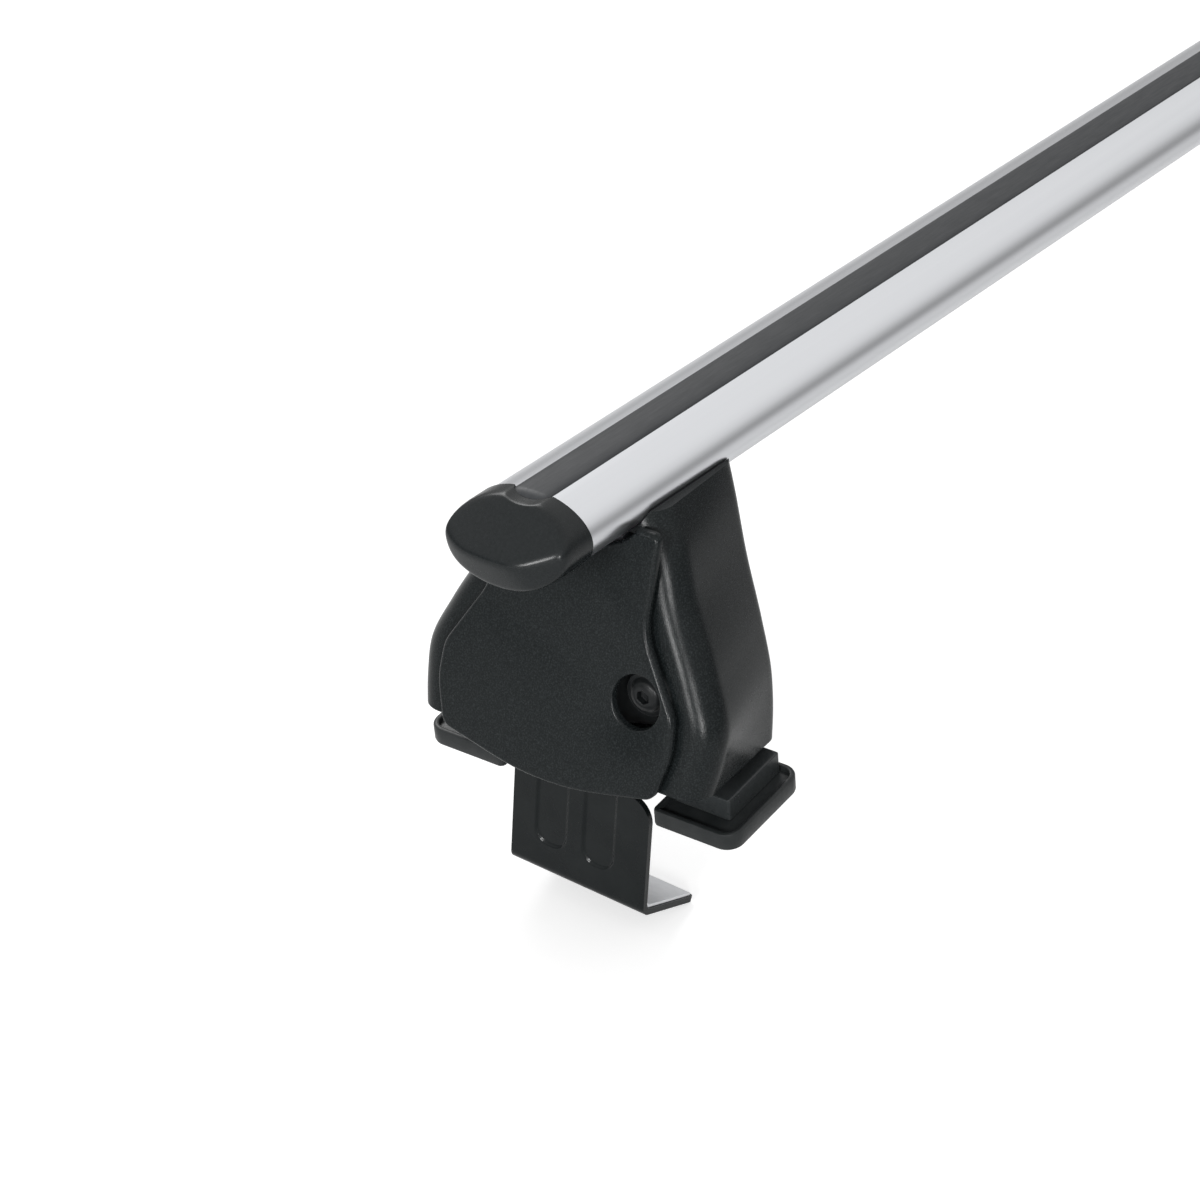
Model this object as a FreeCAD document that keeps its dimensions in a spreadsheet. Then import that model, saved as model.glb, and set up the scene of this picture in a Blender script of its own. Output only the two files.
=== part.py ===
import FreeCAD, Part
import math
import os
import re
import Sketcher
from FreeCAD import Placement, Rotation, Vector

# Roof rack crossbar: an oval aluminium bar with a clamping foot at each end.
# Lengths are in millimetres and angles in degrees. Each foot is drawn in its own frame,
# with x inboard along the bar from the bar's end face, y along the car and z up from the
# bar's centre line, and is then placed at either end of the bar.

SIZES = {
    # bar extrusion
    "bar_length": 1200, "bar_width": 50, "bar_height": 29, "bar_wall": 2,
    "top_mouth": 12.4, "top_channel": 20, "top_lip_underside": 11.4, "top_channel_floor": 5.5,
    "bottom_mouth": 9.2, "bottom_channel": 17, "bottom_lip_top": 11.7, "bottom_channel_roof": 6.2,
    "side_cell_wall": 11.8, "centre_cell_width": 20, "centre_cell_top": 3.5, "centre_cell_bottom": 4.2,
    # rubber strip in the top slot
    "strip_top": 14.9, "strip_flat": 11, "strip_edge": 14.4, "strip_width": 15.2,
    "strip_underside": 14.15, "slot_play": 0.15, "strip_anchor_top": 11.2, "strip_anchor_bottom": 9.3,
    "strip_anchor": 17, "strip_anchor_taper": 1, "strip_overhang": 6,
    # end cap
    "cap_length": 30, "cap_stand": 0.8, "cap_slope_start": 8, "cap_slope_top": 12,
    "cap_crease": 27, "cap_crease_drop": 2.5, "cap_crease_half": 9.5, "cap_undercut": 0.353,
    "cap_corner_start": 20, "cap_corner_half": 24.4, "cap_corner_rise": 3.3, "cap_corner_end": 29.5,
    "cap_corner_low_half": 21.5, "cap_corner_drop": 7.5, "cap_channel_radius": 24,
    "cap_channel_floor": 11.5, "cap_notch_length": 7.5, "cap_notch_width": 18, "cap_notch_floor": 9,
    "plug_play": 0.2, "plug_length": 18,
    # foot housing
    "front_lean": 0.235, "cover_foot": 5, "cover_datum": 100, "cover_proud": 5.5, "housing_back": 75,
    "back_lean": 0.15, "housing_wall": 3, "housing_ceiling": 5, "bar_play": 0.4,
    "housing_top": 2, "housing_top_front": 30, "housing_top_back": 27,
    "housing_shoulder": 12, "housing_shoulder_front": 37.5, "housing_shoulder_back": 30.3,
    "housing_waist": 35, "housing_waist_front": 48, "housing_waist_back": 38,
    "housing_flare": 60, "housing_flare_front": 62, "housing_flare_back": 47.8,
    "housing_hip": 76, "housing_hip_front": 69, "housing_hip_back": 53.4,
    "housing_heel": 90, "housing_heel_front": 68, "housing_heel_back": 56.5,
    "housing_foot": 106, "housing_foot_front": 64.5, "housing_foot_back": 58.5,
    "housing_front_radius": 11, "housing_back_radius": 8, "housing_front_edge": 100,
    "housing_back_edge": 103.5, "door_half": 30, "door_top": 10, "door_neck": 45, "door_elbow": 64,
    "door_elbow_half": 45,
    # foot cover
    "cover_thickness": 3, "cover_arch_play": 2.1, "cover_top": 5.5, "cover_waist_half": 35.5,
    "cover_waist_low_half": 35, "cover_waist_low": 42, "cover_elbow_half": 52, "cover_elbow": 70,
    "cover_hip_half": 53, "cover_hip": 84, "cover_toe_half": 48, "cover_toe": 101.5, "cover_tip": 111.5,
    "cover_top_radius": 3, "cover_waist_radius": 25, "cover_elbow_radius": 14,
    "cover_hip_radius": 30, "cover_toe_radius": 6, "cover_tip_radius": 120, "cover_edge_radius": 1.2,
    "access_hole": 20.5, "leg_play": 0.3, "leg_thickness": 2.5, "leg_reach": 4,
    "upper_leg_top": 24, "upper_leg_bottom": 34, "lower_leg_top": 84, "lower_leg_bottom": 96,
    # clamp frame, saddle and bar bolts
    "frame_gauge": 3, "flange_start": 29.5, "web_front": 57, "flange_half": 25, "saddle_underside": 17.5,
    "saddle_half": 18, "saddle_play": 0.3, "saddle_rim": 11, "web_elbow": 52,
    "web_half": 46, "web_foot": 98, "web_shoulder": 62, "bend_radius": 4,
    "ear_gauge": 2.5, "upper_ear_inner": 26, "upper_ear_height": 14, "lower_ear_inner": 40,
    "lower_ear_height": 15, "bar_bolt_first": 36.5, "bar_bolt_pitch": 13.5, "bar_bolt": 6,
    "bar_bolt_head": 12, "bar_bolt_head_thickness": 3.5, "head_play": 0.3, "bar_bolt_length": 32,
    "bar_nut_flats": 10, "bar_nut": 6, "bar_nut_flange": 13, "bar_nut_flange_thickness": 1.2,
    "bolt_hole_play": 0.6, "nut_play": 0.05,
    # clamp plate and its pivot
    "pivot_x": 29.6, "pivot_drop": 42, "pin": 6, "pin_play": 0.05, "pin_stand": 0.5, "eye": 11,
    "plate_gauge": 3,
    "plate_play": 1, "eye_split": 12, "plate_neck_half": 21, "plate_foot": 100,
    "plate_lug_half": 46, "plate_lug_top": 61.5, "plate_lug_bottom": 79, "plate_taper": 86,
    "bolt_offset": 35.5, "bolt_drop": 67.5, "bolt": 8, "bolt_play": 0.75,
    # hook bracket
    "bracket_gauge": 2.5, "bracket_roll": 3.4, "roll_drop": 142, "tongue_top": 84,
    "tongue_half": 21, "bracket_shoulder": 118, "bracket_half": 31.25, "shoulder_radius": 10,
    "bracket_fold": 167.5, "fold_radius": 2.5, "hook_droop": 20, "hook_reach": 63,
    "rib_width": 14, "rib_depth": 1, "rib_near": 8.8, "rib_far": 13.2, "rib_top": 99,
    "rib_margin": 11.5, "rib_end_radius": 6, "hook_corner_radius": 3,
    "lining": 1.2, "lining_inset": 1, "lining_rise": 6,
    "rivet": 5, "rivet_head": 9, "rivet_head_thickness": 1.8, "rivet_spread": 12, "rivet_drop": 92,
    # tightening bolt, washer and nut
    "head_face": 17.2, "head_bevel": 18, "head_bevel_width": 11.6, "head_flange_start": 20,
    "head_underside": 21.6, "head_flange": 17.5,
    "head": 14, "head_crown": 8, "socket_flats": 5, "socket_depth": 2.9, "washer_play": 0.05,
    "washer": 17, "washer_dome": 1.2, "washer_dome_width": 2.4, "washer_gap": 0.6, "washer_bore_play": 0.3,
    "clamp_nut_flats": 13, "clamp_nut": 6.5, "bolt_end": 69.5, "bolt_chamfer": 0.8,
    # rubber pad and its carrier
    "pad_front": 25.5, "pad_sole": 127, "pad_tilt": 7.5, "pad_length": 142, "pad_depth": 48,
    "pad_thickness": 7.5, "pad_rim": 2.2, "pad_moat_depth": 2, "pad_notch_half": 34.7,
    "pad_notch": 26, "pad_corner_radius": 7, "pad_notch_radius": 5, "carrier_front": 10.5,
    "carrier_back": 45, "carrier_inner": 38, "carrier_outer": 63, "carrier_top": 15,
    "bridge_front": 30, "pad_pivot_x": 50, "pad_pivot_drop": 96,
    "lug_gap": 0.5, "lug_gauge": 4, "lug_width": 12,
}

doc = FreeCAD.newDocument("roof_rack_crossbar")
sheet = doc.addObject("Spreadsheet::Sheet", "sizes")
for row, (alias, number) in enumerate(SIZES.items(), start=1):
    sheet.set("A%d" % row, alias)
    sheet.set("B%d" % row, str(number))
    sheet.setAlias("B%d" % row, alias)
doc.recompute()


def bound(formula):
    """A formula in size names, as an expression that reads the sheet."""
    return re.sub(r"\b([a-z][a-z0-9_]*)\b(?!\()", r"sizes.\1", formula)


def value(formula):
    """The number that a formula in size names gives now."""
    return float(sheet.evalExpression(formula))


def new_body(label, place):
    """An empty body at a place, which is set from the sheet."""
    body = doc.addObject("PartDesign::Body", label)
    body.Label = label
    body.Placement = place
    return body


def origin_feature(body, role):
    """A plane or axis of the body's own origin."""
    return next(part for part in body.Origin.OriginFeatures if part.Role == role)


def new_sketch(body, plane, level="0"):
    """A sketch on an origin plane, moved along its normal to a level."""
    sketch = body.newObject("Sketcher::SketchObject", "outline")
    sketch.AttachmentSupport = (origin_feature(body, plane + "_Plane"), [""])
    sketch.MapMode = "FlatFace"
    if level != "0":
        sketch.setExpression("AttachmentOffset.Base.z", bound(level))
    return sketch


def place_point(sketch, edge, end, across, up):
    """Ties a point to its two formulas, or to an axis where one is zero."""
    for kind, formula, axis in (("DistanceX", across, -2), ("DistanceY", up, -1)):
        if formula == "0":
            sketch.addConstraint(Sketcher.Constraint("PointOnObject", edge, end, axis))
        else:
            index = sketch.addConstraint(
                Sketcher.Constraint(kind, -1, 1, edge, end, value(formula)))
            sketch.setExpression("Constraints[%d]" % index, bound(formula))


def polygon(sketch, corners):
    """A closed outline through corners given as pairs of formulas."""
    points = [Vector(value(across), value(up), 0) for across, up in corners]
    first = sketch.GeometryCount
    count = len(points)
    for index in range(count):
        sketch.addGeometry(Part.LineSegment(points[index], points[(index + 1) % count]))
    for index, (across, up) in enumerate(corners):
        following = first + (index + 1) % count
        sketch.addConstraint(Sketcher.Constraint("Coincident", first + index, 2, following, 1))
        place_point(sketch, first + index, 1, across, up)
    return sketch


def rectangle(sketch, left, right, bottom, top):
    """A rectangle between four formulas."""
    return polygon(sketch, [(left, bottom), (right, bottom), (right, top), (left, top)])


def circle(sketch, radius, across="0", up="0"):
    """A circle whose centre and radius are formulas."""
    edge = sketch.addGeometry(
        Part.Circle(Vector(value(across), value(up), 0), Vector(0, 0, 1), value(radius)))
    place_point(sketch, edge, 3, across, up)
    index = sketch.addConstraint(Sketcher.Constraint("Radius", edge, value(radius)))
    sketch.setExpression("Constraints[%d]" % index, bound(radius))
    return sketch


def ellipse(sketch, half_width, half_height):
    """An ellipse about the origin, tied at the ends of its two axes."""
    edge = sketch.addGeometry(Part.Ellipse(
        Vector(value(half_width), 0, 0), Vector(0, value(half_height), 0), Vector(0, 0, 0)))
    sketch.addConstraint(Sketcher.Constraint("Coincident", edge, 3, -1, 1))
    sketch.exposeInternalGeometry(edge)
    place_point(sketch, edge + 1, 1, half_width, "0")
    index = sketch.addConstraint(
        Sketcher.Constraint("DistanceY", -1, 1, edge + 2, 1, value(half_height)))
    sketch.setExpression("Constraints[%d]" % index, bound(half_height))
    return sketch


def hexagon(sketch, flats, middle="0"):
    """A hexagon of a given width across its flats, with two corners above its middle."""
    left = "%s - %s / 2" % (middle, flats)
    right = "%s + %s / 2" % (middle, flats)
    corner = "%s / sqrt(3)" % flats
    side = "%s / sqrt(12)" % flats
    return polygon(sketch, [
        (middle, corner), (left, side), (left, "-" + side),
        (middle, "-" + corner), (right, "-" + side), (right, side)])


def pad(body, sketch, length, both_ways=False):
    """Material along the sketch's normal, or equally to both sides of it."""
    feature = body.newObject("PartDesign::Pad", "pad")
    feature.Profile = sketch
    if both_ways:
        feature.SideType = "Symmetric"
    feature.setExpression("Length", bound(length))
    return feature


def cut_through(body, sketch):
    """A cut through the whole body, both ways from the sketch."""
    feature = body.newObject("PartDesign::Pocket", "cut")
    feature.Profile = sketch
    feature.SideType = "Symmetric"
    feature.Type = "ThroughAll"
    return feature


def pocket(body, sketch, depth, along_normal=True):
    """A cut of a given depth, along the sketch's normal or against it."""
    feature = body.newObject("PartDesign::Pocket", "recess")
    feature.Profile = sketch
    feature.Reversed = along_normal
    feature.setExpression("Length", bound(depth))
    return feature


def mirrored(body, features):
    """The same features on the other side of the body's middle plane."""
    feature = body.newObject("PartDesign::Mirrored", "mirror")
    feature.Originals = features
    feature.MirrorPlane = (origin_feature(body, "XZ_Plane"), [""])
    body.Tip = feature
    return feature


def rounded(body, radius, test):
    """A fillet on the edges of the body so far that pass a test."""
    doc.recompute()
    base = body.Tip
    edges = base.Shape.Edges
    names = ["Edge%d" % number for number, edge in enumerate(edges, start=1) if test(edge)]
    feature = body.newObject("PartDesign::Fillet", "rounding")
    feature.Base = (base, names)
    feature.setExpression("Radius", bound(radius))
    return feature


def near(number, target):
    """Whether two lengths agree to a hundredth."""
    return abs(number - target) < 0.01


def along_x(*corners):
    """A test for straight edges along x through corners (y, z), given as formulas."""
    targets = [(value(across), value(up)) for across, up in corners]

    def test(edge):
        box = edge.BoundBox
        if box.YLength > 0.01 or box.ZLength > 0.01:
            return False
        return any(near(box.YMin, y) and near(box.ZMin, z) for y, z in targets)
    return test


def along_y(*corners):
    """A test for straight edges along y through corners (x, z), given as formulas."""
    targets = [(value(across), value(up)) for across, up in corners]

    def test(edge):
        box = edge.BoundBox
        if box.XLength > 0.01 or box.ZLength > 0.01:
            return False
        return any(near(box.XMin, x) and near(box.ZMin, z) for x, z in targets)
    return test


def upright(*corners):
    """A test for straight edges along z through corners (x, y), given as formulas."""
    targets = [(value(across), value(up)) for across, up in corners]

    def test(edge):
        box = edge.BoundBox
        if box.XLength > 0.01 or box.YLength > 0.01:
            return False
        return any(near(box.XMin, x) and near(box.YMin, y) for x, y in targets)
    return test


def both_sides(corners):
    """Corners (y, z) and their mirror images, as one closed outline from top right."""
    return corners + [("-(%s)" % across, up) for across, up in reversed(corners)
                      if across != "0"]


def turned(body, profile, place_axis="X_Axis"):
    """A full turn of a profile about an axis of the body's origin."""
    feature = body.newObject("PartDesign::Revolution", "turning")
    feature.Profile = profile
    feature.ReferenceAxis = (origin_feature(body, place_axis), [""])
    feature.Angle = 360
    return feature


def solid_node(label, shape, place):
    """A piece made from Part's own shapes, put in its place."""
    node = doc.addObject("Part::Feature", label)
    node.Label = label
    node.Shape = shape
    node.Placement = place
    return node


def at(x, y, z):
    """A place without a turn, from three formulas."""
    return Placement(Vector(value(x), value(y), value(z)), Rotation())


def oval_edge(half_width, half_height):
    """An oval about the origin."""
    return Part.Ellipse(Vector(half_width, 0, 0), Vector(0, half_height, 0), Vector(0, 0, 0))


def side_cell(play):
    """The oval of the bar's side cells, smaller by a play all round, and half the angle that
    a cell takes of it, up to the wall that closes the cell."""
    half_width = value("bar_width / 2 - bar_wall") - play
    half_height = value("bar_height / 2 - bar_wall") - play
    angle = math.acos((value("side_cell_wall") + play) / half_width)
    return oval_edge(half_width, half_height), angle


# The load surface is the flat top of the rubber strip, and the frame's origin is at its middle.
whole = at("0", "0", "-strip_top")
ends = {
    "left": whole.multiply(at("-bar_length / 2", "0", "0")),
    "right": whole.multiply(Placement(
        Vector(value("bar_length / 2"), 0, 0), Rotation(Vector(0, 0, 1), 180))),
}
# A drawing in x and y is stood up across the bar, in y and z.
across_bar = Placement(Vector(), Rotation(Vector(0, 1, 0), Vector(0, 0, 1), Vector(1, 0, 0)))
plate_front = "(pivot_x - eye / 2)"
strap_front = "(%s + plate_gauge)" % plate_front
strap_back = "(%s + bracket_gauge)" % strap_front
web_back = "(web_front + frame_gauge)"
flange_under = "(-saddle_underside - frame_gauge)"
bar_bolt_places = ("bar_bolt_first", "(bar_bolt_first + bar_bolt_pitch)")
nodes = []


def make_bar():
    """The extrusion: an oval tube with a T-slot above, a T-slot below and closed cells."""
    body = new_body("bar_extrusion", whole)
    outline = ellipse(new_sketch(body, "YZ"), "bar_width / 2", "bar_height / 2")
    pad(body, outline, "bar_length", both_ways=True)
    top_slot = polygon(new_sketch(body, "YZ"), both_sides([
        ("top_mouth / 2", "bar_height"), ("top_mouth / 2", "top_lip_underside"),
        ("top_channel / 2", "top_lip_underside"), ("top_channel / 2", "top_channel_floor")]))
    cut_through(body, top_slot)
    bottom_slot = polygon(new_sketch(body, "YZ"), both_sides([
        ("bottom_channel / 2", "-bottom_channel_roof"), ("bottom_channel / 2", "-bottom_lip_top"),
        ("bottom_mouth / 2", "-bottom_lip_top"), ("bottom_mouth / 2", "-bar_height")]))
    cut_through(body, bottom_slot)
    centre = rectangle(
        new_sketch(body, "YZ"), "-centre_cell_width / 2", "centre_cell_width / 2",
        "-centre_cell_bottom", "centre_cell_top")
    cut_through(body, centre)
    curve, angle = side_cell(0)
    cells = new_sketch(body, "YZ")
    for middle in (0, math.pi):
        cells.addGeometry(Part.ArcOfEllipse(curve, middle - angle, middle + angle))
        cells.addGeometry(Part.LineSegment(
            curve.value(middle + angle), curve.value(middle - angle)))
    cut_through(body, cells)
    nodes.append(body)


def make_strip():
    """The rubber strip: a low crown over the slot's mouth, a stem and an anchor in the channel."""
    body = new_body("top_rubber_strip", whole)
    stem = "top_mouth / 2 - slot_play"
    section = polygon(new_sketch(body, "YZ"), both_sides([
        ("strip_flat / 2", "strip_top"), ("strip_width / 2", "strip_edge"),
        ("strip_width / 2", "strip_underside"), (stem, "strip_underside"),
        (stem, "strip_anchor_top"), ("strip_anchor / 2", "strip_anchor_top"),
        ("strip_anchor / 2 - strip_anchor_taper", "strip_anchor_bottom")]))
    pad(body, section, "bar_length + 2 * strip_overhang", both_ways=True)
    nodes.append(body)


def beyond(points, side):
    """A large block whose face lies in the plane through three points, on the side of a point."""
    first, second, third = points
    normal = (second - first).cross(third - first).normalize()
    if normal.dot(side - first) < 0:
        normal = -normal
    reach = value("bar_width + cap_length")
    block = Part.makeBox(2 * reach, 2 * reach, reach, Vector(-reach, -reach, 0))
    block.Placement = Placement(first, Rotation(Vector(0, 0, 1), normal))
    return block


def make_end_cap(side):
    """A moulded cap: the bar's oval with a sloped top, an undercut end and two plug legs."""
    length = value("cap_length")
    oval = oval_edge(value("bar_width / 2 + cap_stand"), value("bar_height / 2 + cap_stand"))
    face = Part.Face(Part.Wire(oval.toShape())).transformed(across_bar.toMatrix())
    cap = face.extrude(Vector(-length, 0, 0))

    start = Vector(-value("cap_slope_start"), 0, value("cap_slope_top"))
    crease = Vector(-value("cap_crease"), 0, -value("cap_crease_drop"))
    aside = Vector(0, value("cap_crease_half"), 0)
    drop = Vector(0, 0, -value("bar_height / 2"))
    lean = Vector(-value("cap_undercut * bar_height / 2"), 0, 0)
    outside = Vector(-2 * length, 0, crease.z)
    cap = cap.cut(beyond([start, start + aside, crease], Vector(-2 * length, 0, 2 * length)))
    cap = cap.cut(beyond([crease, crease + aside, crease + drop + lean], outside))
    for hand in (-1, 1):
        corner = [
            Vector(-value("cap_corner_start"), hand * value("cap_corner_half"),
                   value("cap_corner_rise")),
            crease + aside * hand,
            Vector(-value("cap_corner_end"), hand * value("cap_corner_low_half"),
                   -value("cap_corner_drop"))]
        cap = cap.cut(beyond(corner, Vector(-2 * length, hand * 2 * length, 0)))

    channel_radius = value("cap_channel_radius")
    channel = Part.makeCylinder(
        channel_radius, length, Vector(-length, 0, value("cap_channel_floor") + channel_radius),
        Vector(1, 0, 0))
    cap = cap.cut(channel)
    notch = Part.makeBox(
        value("cap_notch_length"), value("cap_notch_width"), value("bar_height"),
        Vector(-value("cap_notch_length"), -value("cap_notch_width / 2"),
               value("cap_notch_floor")))
    cap = cap.cut(notch)
    curve, angle = side_cell(value("plug_play"))
    arc = Part.ArcOfEllipse(curve, -angle, angle).toShape()
    chord = Part.makeLine(arc.Vertexes[-1].Point, arc.Vertexes[0].Point)
    cell = Part.Face(Part.Wire([arc, chord])).transformed(across_bar.toMatrix())
    leg = cell.extrude(Vector(value("plug_length"), 0, 0))
    cap = cap.fuse([leg, leg.mirror(Vector(), Vector(0, 1, 0))]).removeSplitter()
    nodes.append(solid_node("end_cap_" + side, cap, ends[side]))


def cover_face(up):
    """How far inboard the cover's outer face lies at a height, as a formula."""
    return "(cover_foot + front_lean * (%s + cover_datum))" % up


def rounded_outline(corners):
    """A closed outline through corners (x, y, radius), with an arc at each corner."""
    points = [Vector(x, y, 0) for x, y, radius in corners]
    count = len(corners)
    arcs = []
    for index, (x, y, radius) in enumerate(corners):
        here = points[index]
        to_before = (points[index - 1] - here).normalize()
        to_after = (points[(index + 1) % count] - here).normalize()
        half_angle = to_before.getAngle(to_after) / 2
        run = radius / math.tan(half_angle)
        middle = here + (to_before + to_after).normalize() * (
            radius / math.sin(half_angle) - radius)
        arcs.append((here + to_before * run, middle, here + to_after * run))
    curves = []
    for index, (start, middle, end) in enumerate(arcs):
        curves.append(Part.Arc(start, middle, end))
        curves.append(Part.LineSegment(end, arcs[(index + 1) % count][0]))
    return curves


def housing_section(body, drop, front_half, back_half, wall):
    """One level of the housing, a wall inside its outside: a trapezoid wider at its front,
    with rounded corners. Its front and back lean away from each other as it rises."""
    level = "-(%s)" % drop
    front = value(cover_face(level) + " + cover_proud") + wall
    back = value("housing_back + back_lean * (housing_back_edge - %s)" % drop) - wall
    front_y = value(front_half) - wall
    back_y = value(back_half) - wall
    front_radius = value("housing_front_radius") - wall
    back_radius = value("housing_back_radius") - wall
    sketch = new_sketch(body, "XY", level)
    for curve in rounded_outline([
            (front, -front_y, front_radius), (back, -back_y, back_radius),
            (back, back_y, back_radius), (front, front_y, front_radius)]):
        sketch.addGeometry(curve)
    return sketch


def housing_loft(body, kind, wall, top, foot):
    """A loft through the housing's levels, for its outside or its hollow."""
    sections = [housing_section(body, top, "housing_top_front", "housing_top_back", wall)]
    for level in ("shoulder", "waist", "flare", "hip", "heel"):
        name = "housing_" + level
        sections.append(housing_section(body, name, name + "_front", name + "_back", wall))
    sections.append(housing_section(body, foot, "housing_foot_front", "housing_foot_back", wall))
    feature = body.newObject("PartDesign::" + kind, "shell")
    feature.Profile = sections[0]
    feature.Sections = sections[1:]
    feature.Ruled = True
    return feature


def make_housing(side):
    """The moulded housing: a tapered shell, open below and at its front, saddled on the bar."""
    body = new_body("foot_housing_" + side, ends[side])
    housing_loft(body, "AdditiveLoft", 0, "housing_top", "housing_foot")
    housing_loft(
        body, "SubtractiveLoft", value("housing_wall"), "housing_ceiling",
        "housing_foot + housing_wall")
    door = polygon(new_sketch(body, "YZ"), both_sides([
        ("door_half", "-door_top"), ("door_half", "-door_neck"),
        ("door_elbow_half", "-door_elbow"), ("door_elbow_half", "-housing_foot - housing_wall")]))
    front_cut = body.newObject("PartDesign::Pocket", "door")
    front_cut.Profile = door
    front_cut.Reversed = True
    front_cut.setExpression("Length", bound("web_front"))
    saddle = ellipse(
        new_sketch(body, "YZ"), "bar_width / 2 + bar_play", "bar_height / 2 + bar_play")
    cut_through(body, saddle)
    hem = polygon(new_sketch(body, "XZ"), [
        ("-housing_back", "-housing_front_edge"), ("0", "-housing_front_edge"),
        ("housing_back", "-housing_back_edge"), ("2 * housing_back", "-housing_back_edge"),
        ("2 * housing_back", "-2 * housing_foot"), ("-housing_back", "-2 * housing_foot")])
    cut_through(body, hem)
    nodes.append(body)


def make_cover(side):
    """The lock cover: a leaning moulded plate with a key hole and four snap legs."""
    body = new_body("foot_cover_" + side, ends[side])
    outline = polygon(new_sketch(body, "YZ", "-cover_foot"), both_sides([
        ("cover_waist_half", "-cover_top"), ("cover_waist_low_half", "-cover_waist_low"),
        ("cover_elbow_half", "-cover_elbow"), ("cover_hip_half", "-cover_hip"),
        ("cover_toe_half", "-cover_toe"), ("0", "-cover_tip")]))
    pad(body, outline, "web_front")
    roundings = [
        ("cover_top_radius", ("cover_waist_half", "-cover_top")),
        ("cover_waist_radius", ("cover_waist_low_half", "-cover_waist_low")),
        ("cover_elbow_radius", ("cover_elbow_half", "-cover_elbow")),
        ("cover_hip_radius", ("cover_hip_half", "-cover_hip")),
        ("cover_toe_radius", ("cover_toe_half", "-cover_toe"))]
    for radius, (across, up) in roundings:
        rounded(body, radius, along_x((across, up), ("-(%s)" % across, up)))
    rounded(body, "cover_tip_radius", along_x(("0", "-cover_tip")))
    arch = ellipse(
        new_sketch(body, "YZ"), "bar_width / 2 + cover_arch_play",
        "bar_height / 2 + cover_arch_play")
    cut_through(body, arch)
    high = "bar_height"
    deep = "-2 * cover_tip"
    front = polygon(new_sketch(body, "XZ"), [
        (cover_face(high), high), (cover_face(deep), deep),
        ("-2 * cover_datum", deep), ("-2 * cover_datum", high)])
    cut_through(body, front)
    back = polygon(new_sketch(body, "XZ"), [
        (cover_face(high) + " + cover_thickness", high),
        (cover_face(deep) + " + cover_thickness", deep),
        ("2 * cover_datum", deep), ("2 * cover_datum", high)])
    cut_through(body, back)

    def on_front(edge):
        """Whether an edge lies in the outer face."""
        lean = value("front_lean")
        foot = value("cover_foot")
        datum = value("cover_datum")
        points = [edge.valueAt(edge.FirstParameter), edge.valueAt(edge.LastParameter),
                  edge.valueAt((edge.FirstParameter + edge.LastParameter) / 2)]
        return all(near(point.x, foot + lean * (point.z + datum)) for point in points)
    rounded(body, "cover_edge_radius", on_front)
    hole = circle(new_sketch(body, "YZ"), "access_hole / 2", "-bolt_offset", "-bolt_drop")
    cut_through(body, hole)
    for name, half in (("upper_leg", "door_half"), ("lower_leg", "door_elbow_half")):
        outer = "%s - leg_play" % half
        start = cover_face("-%s_bottom" % name) + " + cover_thickness / 2"
        leg = rectangle(
            new_sketch(body, "YZ", start), "%s - leg_thickness" % outer, outer,
            "-%s_bottom" % name, "-%s_top" % name)
        mirrored(body, [pad(body, leg, "cover_thickness / 2 + cover_proud + leg_reach")])
    nodes.append(body)


def make_frame(side):
    """The folded steel frame: a flange under the bar, a web, and two pairs of ears."""
    body = new_body("clamp_frame_" + side, ends[side])
    web = polygon(new_sketch(body, "YZ", "web_front"), both_sides([
        ("upper_ear_inner + ear_gauge", "-saddle_underside"),
        ("upper_ear_inner + ear_gauge", "-web_elbow"),
        ("web_half", "-web_shoulder"), ("web_half", "-web_foot")]))
    pad(body, web, "frame_gauge")
    flange = rectangle(
        new_sketch(body, "YZ", "flange_start"), "-flange_half", "flange_half",
        flange_under, "-saddle_underside")
    pad(body, flange, "web_front - flange_start")
    pairs = (("upper_ear", "pivot_x", "-pivot_drop"), ("lower_ear", "pad_pivot_x", "-pad_pivot_drop"))
    ears = []
    for name, pin_x, pin_z in pairs:
        front = "%s - %s_height / 2" % (pin_x, name)
        ear = rectangle(
            new_sketch(body, "XZ", name + "_inner"), front, web_back,
            "%s - %s_height / 2" % (pin_z, name), "%s + %s_height / 2" % (pin_z, name))
        ears.append(pad(body, ear, "ear_gauge"))
    mirrored(body, ears)
    for name, pin_x, pin_z in pairs:
        front = "%s - %s_height / 2" % (pin_x, name)
        rounded(body, "bend_radius", along_y(
            (front, "%s - %s_height / 2" % (pin_z, name)),
            (front, "%s + %s_height / 2" % (pin_z, name))))
        cut_through(body, circle(new_sketch(body, "XZ"), "pin / 2", pin_x, pin_z))
    bolt_hole = circle(
        new_sketch(body, "YZ", web_back), "bolt / 2 + bolt_hole_play", "-bolt_offset",
        "-bolt_drop")
    pocket(body, bolt_hole, "2 * frame_gauge", along_normal=False)
    for place in bar_bolt_places:
        hole = circle(
            new_sketch(body, "XY", flange_under), "bar_bolt / 2 + bolt_hole_play", place)
        pocket(body, hole, "frame_gauge")
    nodes.append(body)


def make_saddle(side):
    """The thin rubber saddle between the bar's underside and the frame's flange."""
    body = new_body("saddle_pad_" + side, ends[side])
    block = rectangle(
        new_sketch(body, "YZ", "flange_start"), "-saddle_half", "saddle_half",
        "-saddle_underside", "-saddle_rim")
    pad(body, block, "web_front - flange_start")
    arch = ellipse(
        new_sketch(body, "YZ"), "bar_width / 2 + saddle_play", "bar_height / 2 + saddle_play")
    cut_through(body, arch)
    for place in bar_bolt_places:
        hole = circle(new_sketch(body, "XY"), "bar_bolt / 2 + bolt_hole_play", place)
        cut_through(body, hole)
    nodes.append(body)


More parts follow.
